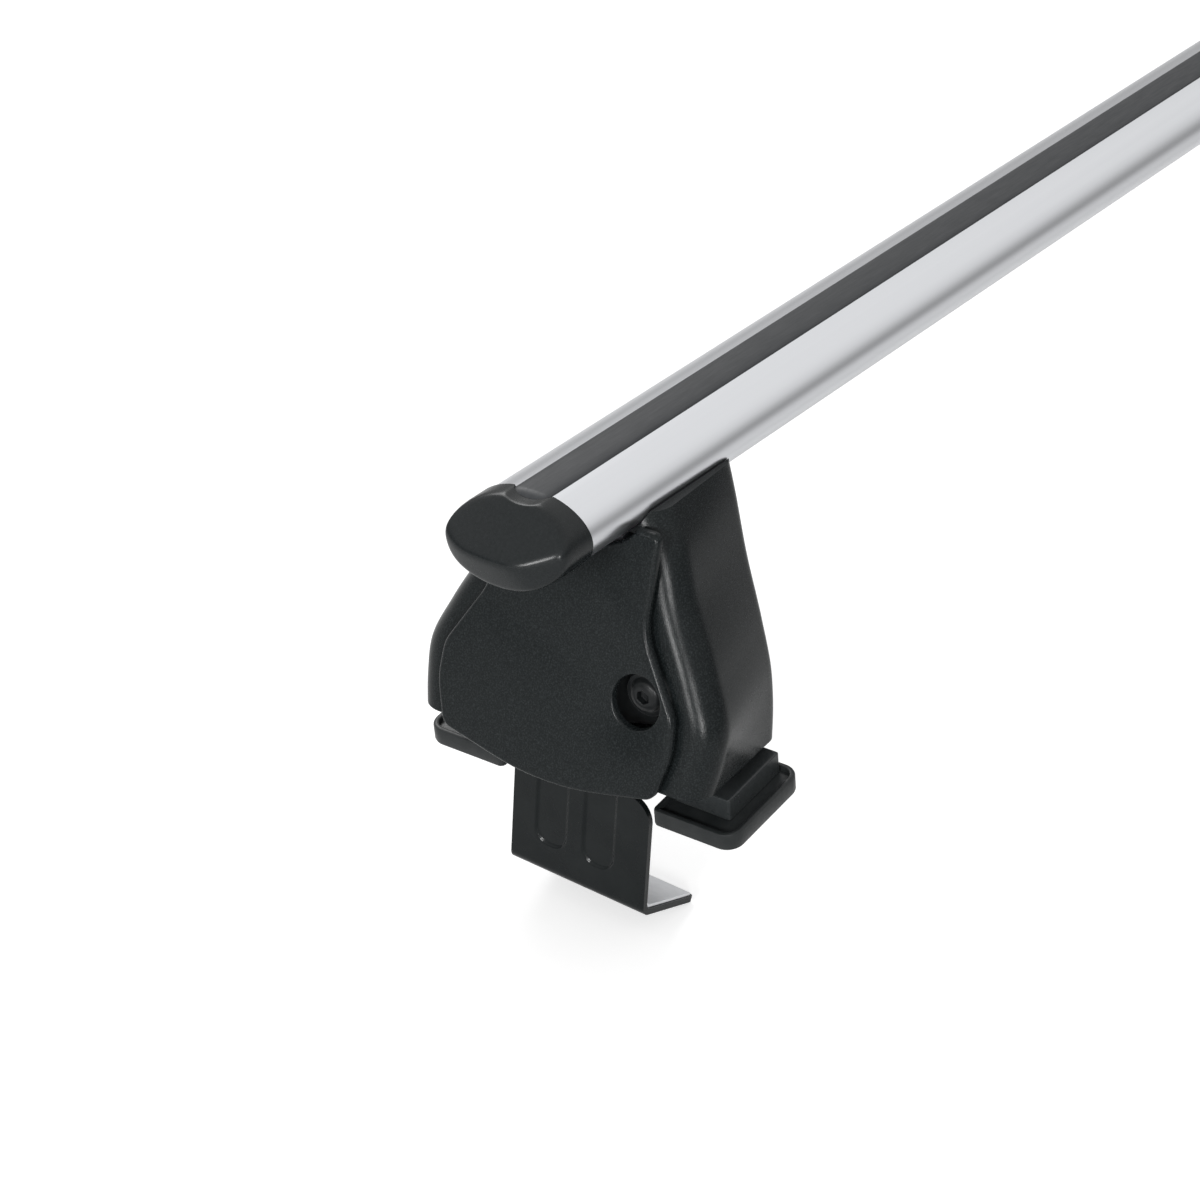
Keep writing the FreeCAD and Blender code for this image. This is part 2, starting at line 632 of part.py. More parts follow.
def make_bar_bolts(side):
    """Two T-bolts whose oblong heads hold in the bar's bottom channel."""
    body = new_body("bar_bolts_" + side, ends[side])
    head_under = "-bottom_lip_top + head_play"
    for place in bar_bolt_places:
        head = rectangle(
            new_sketch(body, "XY", head_under), "%s - bar_bolt_head / 2" % place,
            "%s + bar_bolt_head / 2" % place, "-bottom_channel / 2 + head_play",
            "bottom_channel / 2 - head_play")
        pad(body, head, "bar_bolt_head_thickness")
        shank = circle(new_sketch(body, "XY", "-bar_bolt_length"), "bar_bolt / 2", place)
        pad(body, shank, "bar_bolt_length + %s" % head_under)
    nodes.append(body)


def make_bar_nuts(side):
    """Two flanged nuts that draw the frame up to the bar."""
    body = new_body("bar_nuts_" + side, ends[side])
    for place in bar_bolt_places:
        flange = circle(
            new_sketch(body, "XY", flange_under + " - bar_nut_flange_thickness"),
            "bar_nut_flange / 2", place)
        pad(body, flange, "bar_nut_flange_thickness")
        flats = hexagon(new_sketch(body, "XY", flange_under + " - bar_nut"), "bar_nut_flats", place)
        pad(body, flats, "bar_nut")
        hole = circle(new_sketch(body, "XY"), "bar_bolt / 2 + nut_play", place)
        cut_through(body, hole)
    nodes.append(body)


def make_pin(label, place, length):
    """A plain pin across the foot, centred on its middle plane."""
    body = new_body(label, place)
    pad(body, circle(new_sketch(body, "XZ"), "pin / 2"), length, both_ways=True)
    nodes.append(body)


def make_clamp_plate(side):
    """The steel plate that the bolt pushes, hung on its pivot by two rolled eyes."""
    body = new_body("clamp_plate_" + side, ends[side])
    shoulder = "upper_ear_inner - plate_play"
    outline = polygon(new_sketch(body, "YZ", plate_front), [
        (shoulder, "-pivot_drop"), ("-(%s)" % shoulder, "-pivot_drop"),
        ("-(%s)" % shoulder, "-plate_lug_top"), ("-plate_lug_half", "-plate_lug_top"),
        ("-plate_lug_half", "-plate_lug_bottom"), ("-plate_neck_half", "-plate_taper"),
        ("-plate_neck_half", "-plate_foot"), ("plate_neck_half", "-plate_foot"),
        ("plate_neck_half", "-plate_lug_bottom"), (shoulder, "-plate_lug_top")])
    pad(body, outline, "plate_gauge")
    roll = circle(new_sketch(body, "XZ"), "eye / 2", "pivot_x", "-pivot_drop")
    pad(body, roll, "2 * (%s)" % shoulder, both_ways=True)
    gap = rectangle(
        new_sketch(body, "YZ"), "-eye_split", "eye_split", "-pivot_drop - eye / 2 - plate_gauge",
        "0")
    cut_through(body, gap)
    cut_through(body, circle(
        new_sketch(body, "XZ"), "pin / 2 + pin_play", "pivot_x", "-pivot_drop"))
    rounded(body, "bend_radius", along_x(
        ("-plate_lug_half", "-plate_lug_top"), ("-plate_lug_half", "-plate_lug_bottom"),
        ("plate_neck_half", "-plate_foot"), ("-plate_neck_half", "-plate_foot")))
    cut_through(body, circle(
        new_sketch(body, "YZ"), "bolt / 2 + bolt_play", "-bolt_offset", "-bolt_drop"))
    rolled = bracket_roll()
    rivets = new_sketch(body, "YZ")
    for hand in (-1, 1):
        centre = rolled.multVec(
            Vector(0, hand * value("rivet_spread"), -value("rivet_drop")))
        rivets.addGeometry(Part.Circle(
            Vector(centre.y, centre.z, 0), Vector(0, 0, 1), value("rivet / 2")))
    cut_through(body, rivets)
    nodes.append(body)


def bracket_roll():
    """How the hook bracket is turned in its own plane, to follow the roof's edge."""
    centre = Vector(0, 0, -value("roll_drop"))
    return Placement(Vector(), Rotation(Vector(1, 0, 0), value("bracket_roll")), centre)


def make_bracket(side):
    """The hook bracket: a pressed steel strap with two ribs, folded inboard at its foot."""
    body = new_body("clamp_bracket_" + side, ends[side].multiply(bracket_roll()))
    droop = "tan(hook_droop)"
    gauge_drop = "bracket_gauge / cos(hook_droop)"
    tip = "-bracket_fold - (hook_reach - %s) * %s" % (strap_back, droop)
    heel = "-bracket_fold + bracket_gauge * %s - %s" % (droop, gauge_drop)
    profile = polygon(new_sketch(body, "XZ"), [
        (strap_front, "-tongue_top"), (strap_back, "-tongue_top"), (strap_back, "-bracket_fold"),
        ("hook_reach", tip), ("hook_reach", "%s - %s" % (tip, gauge_drop)), (strap_front, heel)])
    pad(body, profile, "2 * bracket_half", both_ways=True)
    flanks = new_sketch(body, "YZ")
    for hand in ("", "-"):
        polygon(flanks, [
            (hand + "tongue_half", "0"), (hand + "tongue_half", "-bracket_shoulder"),
            (hand + "2 * bracket_half", "-bracket_shoulder"), (hand + "2 * bracket_half", "0")])
    cut_through(body, flanks)
    rounded(body, "shoulder_radius", along_x(
        ("bracket_half", "-bracket_shoulder"), ("-bracket_half", "-bracket_shoulder")))
    rounded(body, "hook_corner_radius", upright(
        ("hook_reach", "bracket_half"), ("hook_reach", "-bracket_half")))
    rounded(body, "fold_radius", along_y((strap_back, "-bracket_fold")))
    rounded(body, "fold_radius + bracket_gauge", along_y((strap_front, heel)))
    rib_foot = "(rib_margin - bracket_fold)"
    for middle in ("-rib_near", "rib_far"):
        left = middle + " - rib_width / 2"
        right = middle + " + rib_width / 2"
        corners = along_x((left, "-rib_top"), (right, "-rib_top"), (left, rib_foot), (right, rib_foot))
        crest = rectangle(new_sketch(body, "YZ", strap_back), left, right, rib_foot, "-rib_top")
        pad(body, crest, "rib_depth")
        trough = rectangle(new_sketch(body, "YZ", strap_front), left, right, rib_foot, "-rib_top")
        pocket(body, trough, "rib_depth")
        rounded(body, "rib_end_radius", corners)
    rivets = new_sketch(body, "YZ")
    for hand in ("", "-"):
        circle(rivets, "rivet / 2", hand + "rivet_spread", "-rivet_drop")
    cut_through(body, rivets)
    nodes.append(body)


def make_lining(side):
    """The pale rubber lining on the hook's upper face and the foot of the strap."""
    body = new_body("bracket_lining_" + side, ends[side].multiply(bracket_roll()))
    droop = "tan(hook_droop)"
    foot = "(%s + fold_radius)" % strap_back
    tip = "hook_reach - lining_inset"

    def top_of_hook(x):
        """The height of the hook's upper face at a distance along the bar."""
        return "-bracket_fold - (%s - %s) * %s" % (x, strap_back, droop)
    profile = polygon(new_sketch(body, "XZ"), [
        (strap_back, "-bracket_fold + fold_radius + lining_rise"),
        (strap_back + " + lining", "-bracket_fold + fold_radius + lining_rise"),
        (strap_back + " + lining", "-bracket_fold + fold_radius"),
        (foot + " + lining / 2", top_of_hook(foot) + " + lining"),
        (tip, top_of_hook("(%s)" % tip) + " + lining"), (tip, top_of_hook("(%s)" % tip)),
        (foot, top_of_hook(foot)), (strap_back, "-bracket_fold + fold_radius")])
    pad(body, profile, "2 * (bracket_half - lining_inset)", both_ways=True)
    nodes.append(body)


def make_rivets(side):
    """Two rivets that hold the hook bracket to the clamp plate."""
    body = new_body("bracket_rivets_" + side, ends[side].multiply(bracket_roll()))
    for hand in ("", "-"):
        across = hand + "rivet_spread"
        for head in (plate_front + " - rivet_head_thickness", strap_back):
            pad(body, circle(
                new_sketch(body, "YZ", head), "rivet_head / 2", across, "-rivet_drop"),
                "rivet_head_thickness")
        shank = circle(new_sketch(body, "YZ", plate_front), "rivet / 2", across, "-rivet_drop")
        pad(body, shank, "plate_gauge + bracket_gauge")
    nodes.append(body)


def bolt_axis(side):
    """The tightening bolt's axis, along the bar."""
    return ends[side].multiply(at("0", "-bolt_offset", "-bolt_drop"))


def make_tightening_bolt(side):
    """A flanged button-head bolt with a hexagon socket in its crown."""
    body = new_body("tightening_bolt_" + side, bolt_axis(side))
    profile = polygon(new_sketch(body, "XY"), [
        ("head_face", "0"), ("head_face", "head_crown / 2"),
        ("head_bevel", "head_bevel_width / 2"), ("head_flange_start", "head / 2"),
        ("head_flange_start", "head_flange / 2"),
        ("head_underside", "head_flange / 2"), ("head_underside", "bolt / 2"),
        ("bolt_end - bolt_chamfer", "bolt / 2"), ("bolt_end", "bolt / 2 - bolt_chamfer"),
        ("bolt_end", "0")])
    turned(body, profile)
    socket = hexagon(new_sketch(body, "YZ", "head_face"), "socket_flats")
    pocket(body, socket, "socket_depth")
    nodes.append(body)


def make_washer(side):
    """The domed washer between the bolt's head and the clamp plate."""
    body = new_body("bolt_washer_" + side, bolt_axis(side))
    flat = "head_underside + washer_play"
    crest = plate_front + " - washer_gap"
    profile = polygon(new_sketch(body, "XY"), [
        (flat, "bolt / 2 + washer_bore_play"), (crest, "bolt / 2 + washer_bore_play"),
        (crest, "washer / 2 - washer_dome_width"), ("%s - washer_dome" % crest, "washer / 2"),
        (flat, "washer / 2")])
    turned(body, profile)
    nodes.append(body)


def make_clamp_nut(side):
    """The hexagon nut welded behind the frame's web."""
    body = new_body("clamp_nut_" + side, bolt_axis(side))
    pad(body, hexagon(new_sketch(body, "YZ", web_back), "clamp_nut_flats"), "clamp_nut")
    cut_through(body, circle(new_sketch(body, "YZ"), "bolt / 2 + nut_play"))
    nodes.append(body)


def pad_place(side):
    """The frame of the roof pad: its lower outboard edge, tilted to the roof's slope."""
    tilt = Placement(
        Vector(value("pad_front"), 0, -value("pad_sole")),
        Rotation(Vector(0, 1, 0), -value("pad_tilt")))
    return ends[side].multiply(tilt)


def pad_pivot():
    """The pad's pivot as distances along and above the tilted sole."""
    tilt = math.radians(value("pad_tilt"))
    along = value("pad_pivot_x - pad_front")
    above = value("pad_sole - pad_pivot_drop")
    return (along * math.cos(tilt) + above * math.sin(tilt),
            above * math.cos(tilt) - along * math.sin(tilt))


def notched(front, back, half, notch_depth, notch_half):
    """Corners of a pad outline that is notched from its outboard edge."""
    return [(front, "-(%s)" % half), (back, "-(%s)" % half), (back, half), (front, half),
            (front, notch_half), (notch_depth, notch_half), (notch_depth, "-(%s)" % notch_half),
            (front, "-(%s)" % notch_half)]


def make_rubber_pad(side):
    """The moulded rubber pad that stands on the roof, notched for the hook bracket."""
    body = new_body("rubber_pad_" + side, pad_place(side))
    half = "pad_length / 2"
    sole = polygon(new_sketch(body, "XY"), notched(
        "0", "pad_depth", half, "pad_notch", "pad_notch_half"))
    pad(body, sole, "pad_thickness")
    rounded(body, "pad_corner_radius", upright(
        ("0", half), ("0", "-pad_length / 2"), ("pad_depth", half),
        ("pad_depth", "-pad_length / 2")))
    rounded(body, "pad_notch_radius", upright(
        ("pad_notch", "pad_notch_half"), ("pad_notch", "-pad_notch_half")))
    moat = polygon(
        new_sketch(body, "XY", "pad_thickness - pad_moat_depth"), notched(
            "pad_rim", "pad_depth - pad_rim", "%s - pad_rim" % half, "pad_notch + pad_rim",
            "pad_notch_half + pad_rim"))
    pocket(body, moat, "2 * pad_moat_depth")
    nodes.append(body)


def make_carrier(side):
    """The moulded carrier bonded in the pad, with a lug on each side for the pad's pin."""
    body = new_body("pad_carrier_" + side, pad_place(side))
    floor = "pad_thickness - pad_moat_depth"
    block = polygon(new_sketch(body, "XY", floor), notched(
        "carrier_front", "carrier_back", "carrier_outer", "bridge_front", "carrier_inner"))
    pad(body, block, "carrier_top - (%s)" % floor)
    pivot_along, pivot_above = pad_pivot()
    half_lug = value("lug_width / 2")
    lug = new_sketch(body, "XZ", "lower_ear_inner + ear_gauge + lug_gap")
    top = Vector(pivot_along, pivot_above, 0)
    low = value(floor)
    left = Vector(pivot_along - half_lug, pivot_above, 0)
    right = Vector(pivot_along + half_lug, pivot_above, 0)
    lug.addGeometry(Part.Arc(right, top + Vector(0, half_lug, 0), left))
    lug.addGeometry(Part.LineSegment(left, Vector(left.x, low, 0)))
    lug.addGeometry(Part.LineSegment(Vector(left.x, low, 0), Vector(right.x, low, 0)))
    lug.addGeometry(Part.LineSegment(Vector(right.x, low, 0), right))
    mirrored(body, [pad(body, lug, "lug_gauge")])
    bore = new_sketch(body, "XZ")
    bore.addGeometry(Part.Circle(top, Vector(0, 0, 1), value("pin / 2 + pin_play")))
    cut_through(body, bore)
    nodes.append(body)


make_bar()
make_strip()
for side in ("left", "right"):
    make_end_cap(side)
    make_housing(side)
    make_cover(side)
    make_frame(side)
    make_saddle(side)
    make_bar_bolts(side)
    make_bar_nuts(side)
    make_pin("clamp_pivot_pin_" + side, ends[side].multiply(at("pivot_x", "0", "-pivot_drop")),
             "2 * (upper_ear_inner + ear_gauge + pin_stand)")
    make_clamp_plate(side)
    make_bracket(side)
    make_lining(side)
    make_rivets(side)
    make_tightening_bolt(side)
    make_washer(side)
    make_clamp_nut(side)
    make_rubber_pad(side)
    make_carrier(side)
    make_pin("pad_pivot_pin_" + side,
             ends[side].multiply(at("pad_pivot_x", "0", "-pad_pivot_drop")),
             "2 * (lower_ear_inner + ear_gauge + lug_gap + lug_gauge + pin_stand)")
doc.recompute()

for item in doc.Objects:
    if "Invalid" in item.State or "Error" in item.State:
        raise RuntimeError("%s failed: %s" % (item.Label, item.State))
os.makedirs("parts", exist_ok=True)
for node in nodes:
    if node.Shape.isNull() or not node.Shape.isValid():
        raise RuntimeError("%s has no valid shape" % node.Label)
    node.Shape.exportStep("parts/%s.step" % node.Label)
    print("%-24s %d solids %10.1f mm3" % (node.Label, len(node.Shape.Solids), node.Shape.Volume))
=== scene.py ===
import math

import bmesh
import bpy
import numpy as np
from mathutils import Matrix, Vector


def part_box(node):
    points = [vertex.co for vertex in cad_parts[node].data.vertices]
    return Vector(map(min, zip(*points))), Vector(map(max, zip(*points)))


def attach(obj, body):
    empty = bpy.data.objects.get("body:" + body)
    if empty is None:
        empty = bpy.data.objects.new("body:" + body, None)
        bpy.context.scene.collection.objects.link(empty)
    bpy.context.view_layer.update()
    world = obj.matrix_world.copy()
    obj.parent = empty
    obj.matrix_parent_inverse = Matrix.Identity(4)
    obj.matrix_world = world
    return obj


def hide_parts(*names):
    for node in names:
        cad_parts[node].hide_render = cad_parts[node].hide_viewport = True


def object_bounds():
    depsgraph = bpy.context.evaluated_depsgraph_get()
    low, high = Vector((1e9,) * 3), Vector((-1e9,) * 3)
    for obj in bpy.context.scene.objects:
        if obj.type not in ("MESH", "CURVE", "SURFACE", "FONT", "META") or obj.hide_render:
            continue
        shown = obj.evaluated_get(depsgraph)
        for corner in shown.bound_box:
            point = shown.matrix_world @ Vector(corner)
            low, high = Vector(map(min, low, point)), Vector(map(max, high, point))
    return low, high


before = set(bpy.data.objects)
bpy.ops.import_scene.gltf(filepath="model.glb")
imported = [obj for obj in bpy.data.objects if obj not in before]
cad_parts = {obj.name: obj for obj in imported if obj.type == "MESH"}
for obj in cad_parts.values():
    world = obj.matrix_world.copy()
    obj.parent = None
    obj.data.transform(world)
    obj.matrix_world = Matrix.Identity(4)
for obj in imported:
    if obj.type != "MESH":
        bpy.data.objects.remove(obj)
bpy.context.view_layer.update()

MM = 0.001


# The bar: an oval aluminium extrusion with a slot above for the rubber strip and one below
# for the feet's bolts. It is drawn through a die, sawn to length and satin anodised, so it
# shows faint lines along its length.
bar_low, bar_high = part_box("bar_extrusion")
BAR_END = bar_high.x
OVAL_HALF_WIDTH = (bar_high.y - bar_low.y) / 2
OVAL_HALF_HEIGHT = 14.5 * MM
STRIP_STANDS = 14.9 * MM
BAR_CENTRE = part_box("top_rubber_strip")[1].z - STRIP_STANDS
LIP_ROUNDING = 0.3 * MM
TOP_SLOT = np.array([(6.2, 11.4), (10.0, 11.4), (10.0, 5.5)]) * MM
BOTTOM_SLOT = np.array([(4.6, -11.7), (8.5, -11.7), (8.5, -6.2)]) * MM
OVAL_STEPS = 80
BAR_STATIONS = 13
WELD = 0.001 * MM


def ring_mesh(name, rings, ends=True):
    """A mesh through rings of points: point j of ring i is joined to point j + 1 and to ring
    i + 1 by a four-sided face, and the first and last rings are filled if ends is true."""
    count, around = rings.shape[:2]
    index = np.arange(count * around).reshape(count, around)
    here, onward = index[:-1], index[1:]
    quads = np.stack([here, np.roll(here, -1, 1), np.roll(onward, -1, 1), onward], -1)
    faces = quads.reshape(-1, 4).tolist()
    if ends:
        faces += [index[0][::-1].tolist(), index[-1].tolist()]
    mesh = bpy.data.meshes.new(name)
    mesh.from_pydata(rings.reshape(-1, 3).tolist(), [], faces)
    return mesh


def outward(mesh, sharp_degrees=32):
    """Turns the faces outwards, smooths them and keeps edges sharper than an angle."""
    shape = bmesh.new()
    shape.from_mesh(mesh)
    bmesh.ops.remove_doubles(shape, verts=shape.verts, dist=WELD)
    bmesh.ops.recalc_face_normals(shape, faces=shape.faces)
    shape.to_mesh(mesh)
    shape.free()
    mesh.polygons.foreach_set("use_smooth", np.ones(len(mesh.polygons), bool))
    mesh.set_sharp_from_angle(angle=math.radians(sharp_degrees))
    mesh.update()
    return mesh


def show(name, mesh, material, body, slot, *nodes):
    """Puts a finished mesh in the scene, on its body, in place of its plain solids."""
    piece = bpy.data.objects.new(name, mesh)
    bpy.context.scene.collection.objects.link(piece)
    piece.data.materials.clear()
    piece.data.materials.append(material)
    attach(piece, body)
    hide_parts(*nodes)
    return piece


def soften(piece, width, segments=2, degrees=40):
    """A small rounding on the piece's sharp edges."""
    bevel = piece.modifiers.new("rounding", "BEVEL")
    bevel.width = width
    bevel.segments = segments
    bevel.limit_method = "ANGLE"
    bevel.angle_limit = math.radians(degrees)
    bevel.use_clamp_overlap = True
    bevel.harden_normals = True
    return piece


def ramped_noise(nodes, links, low, high, scale, detail, stretch=(1, 1, 1), rise=(0.3, 0.7)):
    """Noise on Object coordinates, stretched along the axes; it goes from the low value to
    the high one while the noise itself rises between two levels."""
    place = nodes.new("ShaderNodeTexCoord")
    mapping = nodes.new("ShaderNodeMapping")
    mapping.inputs["Scale"].default_value = stretch
    noise = nodes.new("ShaderNodeTexNoise")
    noise.inputs["Scale"].default_value = scale
    noise.inputs["Detail"].default_value = detail
    span = nodes.new("ShaderNodeMapRange")
    span.inputs["From Min"].default_value, span.inputs["From Max"].default_value = rise
    span.inputs["To Min"].default_value = low
    span.inputs["To Max"].default_value = high
    links.new(place.outputs["Object"], mapping.inputs["Vector"])
    links.new(mapping.outputs["Vector"], noise.inputs["Vector"])
    links.new(noise.outputs["Fac"], span.inputs["Value"])
    return span.outputs["Result"]


def finish(name, tones, tone_grain, roughness, roughness_grain, relief=None, strength=0.0,
           depth=0.0, metallic=0.0, shine=0.5):
    """A new material. Its colour runs between two tones and its roughness between two values,
    each by a grain of its own, and a third grain is its relief."""
    material = bpy.data.materials.new(name)
    material.use_nodes = True
    nodes, links = material.node_tree.nodes, material.node_tree.links
    shader = nodes["Principled BSDF"]
    shader.inputs["Metallic"].default_value = metallic
    shader.inputs["Specular IOR Level"].default_value = shine
    mix = nodes.new("ShaderNodeMix")
    mix.data_type = "RGBA"
    mix.inputs["A"].default_value = (*tones[0], 1)
    mix.inputs["B"].default_value = (*tones[1], 1)
    links.new(ramped_noise(nodes, links, 0, 1, **tone_grain), mix.inputs["Factor"])
    links.new(mix.outputs["Result"], shader.inputs["Base Color"])
    links.new(ramped_noise(nodes, links, *roughness, **roughness_grain),
              shader.inputs["Roughness"])
    if relief:
        bump = nodes.new("ShaderNodeBump")
        bump.inputs["Strength"].default_value = strength
        bump.inputs["Distance"].default_value = depth
        links.new(ramped_noise(nodes, links, 0, 1, **relief), bump.inputs["Height"])
        links.new(bump.outputs["Normal"], shader.inputs["Normal"])
    return material


DRAWN_LINES = dict(scale=420, detail=1, stretch=(0.003, 1, 1))
anodised = finish("anodised_bar", tones=((0.695, 0.705, 0.727), (0.712, 0.722, 0.744)),
                  tone_grain=DRAWN_LINES, roughness=(0.28, 0.31),
                  roughness_grain=dict(scale=180, detail=1, stretch=(0.006, 1, 1)),
                  relief=DRAWN_LINES, strength=0.002, depth=0.1 * MM, metallic=1.0)


def oval(angles, half_width, half_height):
    """Points (y, z) on an oval: half width times cosine, half height times sine."""
    return np.stack([half_width * np.cos(angles), half_height * np.sin(angles)], -1)


def bar_section():
    """The bar's outline: right flank, bottom slot, left flank, top slot. The flanks are an
    oval, and the slots' lips are cut back by a small rounding."""
    top_angle = math.acos((TOP_SLOT[0, 0] + LIP_ROUNDING) / OVAL_HALF_WIDTH)
    bottom_angle = -math.acos((BOTTOM_SLOT[0, 0] + LIP_ROUNDING) / OVAL_HALF_WIDTH)
    flank = oval(np.linspace(top_angle, bottom_angle, OVAL_STEPS), OVAL_HALF_WIDTH,
                 OVAL_HALF_HEIGHT)
    high_lip = [(TOP_SLOT[0, 0], flank[0, 1] - LIP_ROUNDING)]
    low_lip = [(BOTTOM_SLOT[0, 0], flank[-1, 1] + LIP_ROUNDING)]
    half = np.concatenate([TOP_SLOT[::-1], high_lip, flank, low_lip, BOTTOM_SLOT])
    return np.concatenate([half, half[::-1] * (-1, 1)])


def along_bar(section, x, drop=0.0, narrow=1.0):
    """A section (y, z) carried along the bar: at each station x the ring is (x, y times its
    narrowing, z less its drop)."""
    x, drop, narrow = (np.atleast_1d(part)[:, None] for part in (x, drop, narrow))
    y = section[:, 0] * narrow
    z = section[:, 1] - drop + BAR_CENTRE
    x, y, z = np.broadcast_arrays(x, y, z)
    return np.stack([x, y, z], -1)


bar_rings = along_bar(bar_section(), np.linspace(-BAR_END, BAR_END, BAR_STATIONS))
show("bar_drawn", outward(ring_mesh("bar_drawn", bar_rings)), anodised, "bar",
     "anodised_bar", "bar_extrusion")


# The strip: soft black rubber pushed into the top slot from its end. Its low crown stands
# just above the aluminium and stops loads from sliding, and its ends dip into the caps.
STRIP_CROWN = [(0.0, 14.9), (2.5, 14.88), (4.5, 14.78), (6.0, 14.6), (6.9, 14.38),
               (7.4, 14.12), (7.6, 13.8), (7.6, 13.6)]
STRIP_STEM = [(6.05, 13.6), (6.05, 11.2), (8.5, 11.2), (7.5, 9.35)]
STRIP_OVERHANG = 5.4 * MM
STRIP_DROOP = 2.6 * MM
STRIP_NARROWING = 0.2
STRIP_STATIONS = 13
STRIP_ROUNDING = 0.8 * MM
NOTCH_FLOOR = BAR_CENTRE + 9.1 * MM

strip_rubber = finish("strip_rubber", tones=((0.022, 0.024, 0.027), (0.033, 0.035, 0.038)),
                      tone_grain=dict(scale=350, detail=4, stretch=(0.2, 1, 1)),
                      roughness=(0.38, 0.48),
                      roughness_grain=dict(scale=900, detail=3, stretch=(0.1, 1, 1)),
                      relief=dict(scale=2500, detail=2, stretch=(0.3, 1, 1)), strength=0.1,
                      depth=0.1 * MM, shine=0.3)

strip_half = np.array(STRIP_CROWN + STRIP_STEM) * MM
strip_section = np.concatenate([strip_half, strip_half[:0:-1] * (-1, 1)])
overhang = np.linspace(0, 1, STRIP_STATIONS)
beyond = np.concatenate([overhang[::-1], overhang])
strip_x = np.concatenate([-BAR_END - STRIP_OVERHANG * overhang[::-1],
                          BAR_END + STRIP_OVERHANG * overhang])
strip_rings = along_bar(strip_section, strip_x, STRIP_DROOP * beyond ** 2,
                        1 - STRIP_NARROWING * beyond ** 4)
strip_rings[:, :, 2] = np.maximum(strip_rings[:, :, 2], NOTCH_FLOOR)
piece = show("strip_moulded", outward(ring_mesh("strip_moulded", strip_rings)), strip_rubber,
             "bar", "strip_rubber", "top_rubber_strip")
soften(piece, STRIP_ROUNDING, 3, 60)


# The end caps: black plastic mouldings pushed into the bar's ends. Each is the bar's oval cut
# by a sloping face above, a steeper one below and a flat at each corner, with round edges.
CAP_LENGTH = 30 * MM
CAP_HALF_WIDTH = 25.8 * MM
CAP_HALF_HEIGHT = 15.3 * MM
CAP_FACES = [(24.4 * MM, 1.05), (27.84 * MM, -0.336)]
CAP_CROWN = 4.5
CAP_CORNERS = [((-0.847, -0.5276, -0.058), 28.0 * MM), ((-0.847, 0.5276, -0.058), 31.0 * MM)]
CAP_SHARPNESS = 23
CAP_ROUNDING = 0.35 * MM
TROUGH_RADIUS = 26 * MM
TROUGH_REACH = 0.9
TROUGH_FLOOR = 13.5 * MM
TROUGH_SOFTNESS = 0.5 * MM
CLEAR_OF_CAP = 1.0
DISH_CENTRE = (2.5 * MM, 0, 17.6 * MM)
DISH_RADII = (8.6 * MM, 9.6 * MM, 8.6 * MM)
POLE_GAPS = (0.0005, 0.01)

satin = finish("satin_plastic", tones=((0.0060, 0.0078, 0.0084), (0.010, 0.012, 0.0128)),
               tone_grain=dict(scale=900, detail=3), roughness=(0.24, 0.29),
               roughness_grain=dict(scale=260, detail=4),
               relief=dict(scale=2600, detail=2), strength=0.1, depth=0.06 * MM, shine=0.25)


def cap_surface(rows=150, columns=300):
    """The cap as seen from the middle of the bar's end. In each direction h the closeness
    1/distance is worked out for the oval, for each crowned face x = -a + c z + k y^2, and for
    each corner plane, and the surface is at (sum of closeness^p)^(-1/p), so edges are round.
    Above, it stays under a trough of a radius r by the soft minimum of a and b, which is
    (a + b - sqrt((a - b)^2 + s^2)) / 2."""
    tip = np.linspace(POLE_GAPS[0], math.pi / 2, rows)[:, None]
    turn = np.linspace(0, 2 * math.pi, columns, endpoint=False)[None, :]
    heading = np.stack([
        -np.cos(tip) * np.ones_like(turn), np.sin(tip) * np.cos(turn),
        np.sin(tip) * np.sin(turn)], -1)
    hx, hy, hz = heading[..., 0], heading[..., 1], heading[..., 2]
    closeness = np.hypot(hy / CAP_HALF_WIDTH, hz / CAP_HALF_HEIGHT) ** CAP_SHARPNESS
    for reach, slope in CAP_FACES:
        lead = slope * hz - hx
        near = (lead + np.sqrt(lead ** 2 + 4 * CAP_CROWN * reach * hy ** 2)) / (2 * reach)
        closeness += near ** CAP_SHARPNESS
    for normal, distance in CAP_CORNERS:
        closeness += np.maximum(heading @ np.array(normal) / distance, 0) ** CAP_SHARPNESS
    closeness += np.maximum(-hx / CAP_LENGTH, 0) ** CAP_SHARPNESS
    surface = heading * (closeness ** (-1 / CAP_SHARPNESS))[..., None]
    y, z = surface[..., 1], surface[..., 2]
    inside = np.abs(y) < TROUGH_REACH * TROUGH_RADIUS
    arc = np.sqrt(TROUGH_RADIUS ** 2 - np.where(inside, y, 0) ** 2)
    trough = np.where(inside, TROUGH_FLOOR + TROUGH_RADIUS - arc, CLEAR_OF_CAP)
    surface[..., 2] = (z + trough - np.sqrt((z - trough) ** 2 + TROUGH_SOFTNESS ** 2)) / 2
    return surface


def egg(centre, radii, rows=24, columns=48):
    """A closed surface: centre + radii times (cos v, sin v cos u, sin v sin u)."""
    v = np.linspace(POLE_GAPS[1], math.pi - POLE_GAPS[1], rows)[:, None]
    u = np.linspace(0, 2 * math.pi, columns, endpoint=False)[None, :]
    unit = np.stack([np.cos(v) * np.ones_like(u), np.sin(v) * np.cos(u),
                     np.sin(v) * np.sin(u)], -1)
    return np.array(centre) + unit * np.array(radii)


def at_end(points, side):
    """Points of a foot's own frame, put at the bar's left end or, turned half round, right."""
    hand = -1 if side == "left" else 1
    return points * (-hand, -hand, 1) + (hand * BAR_END, 0, BAR_CENTRE)


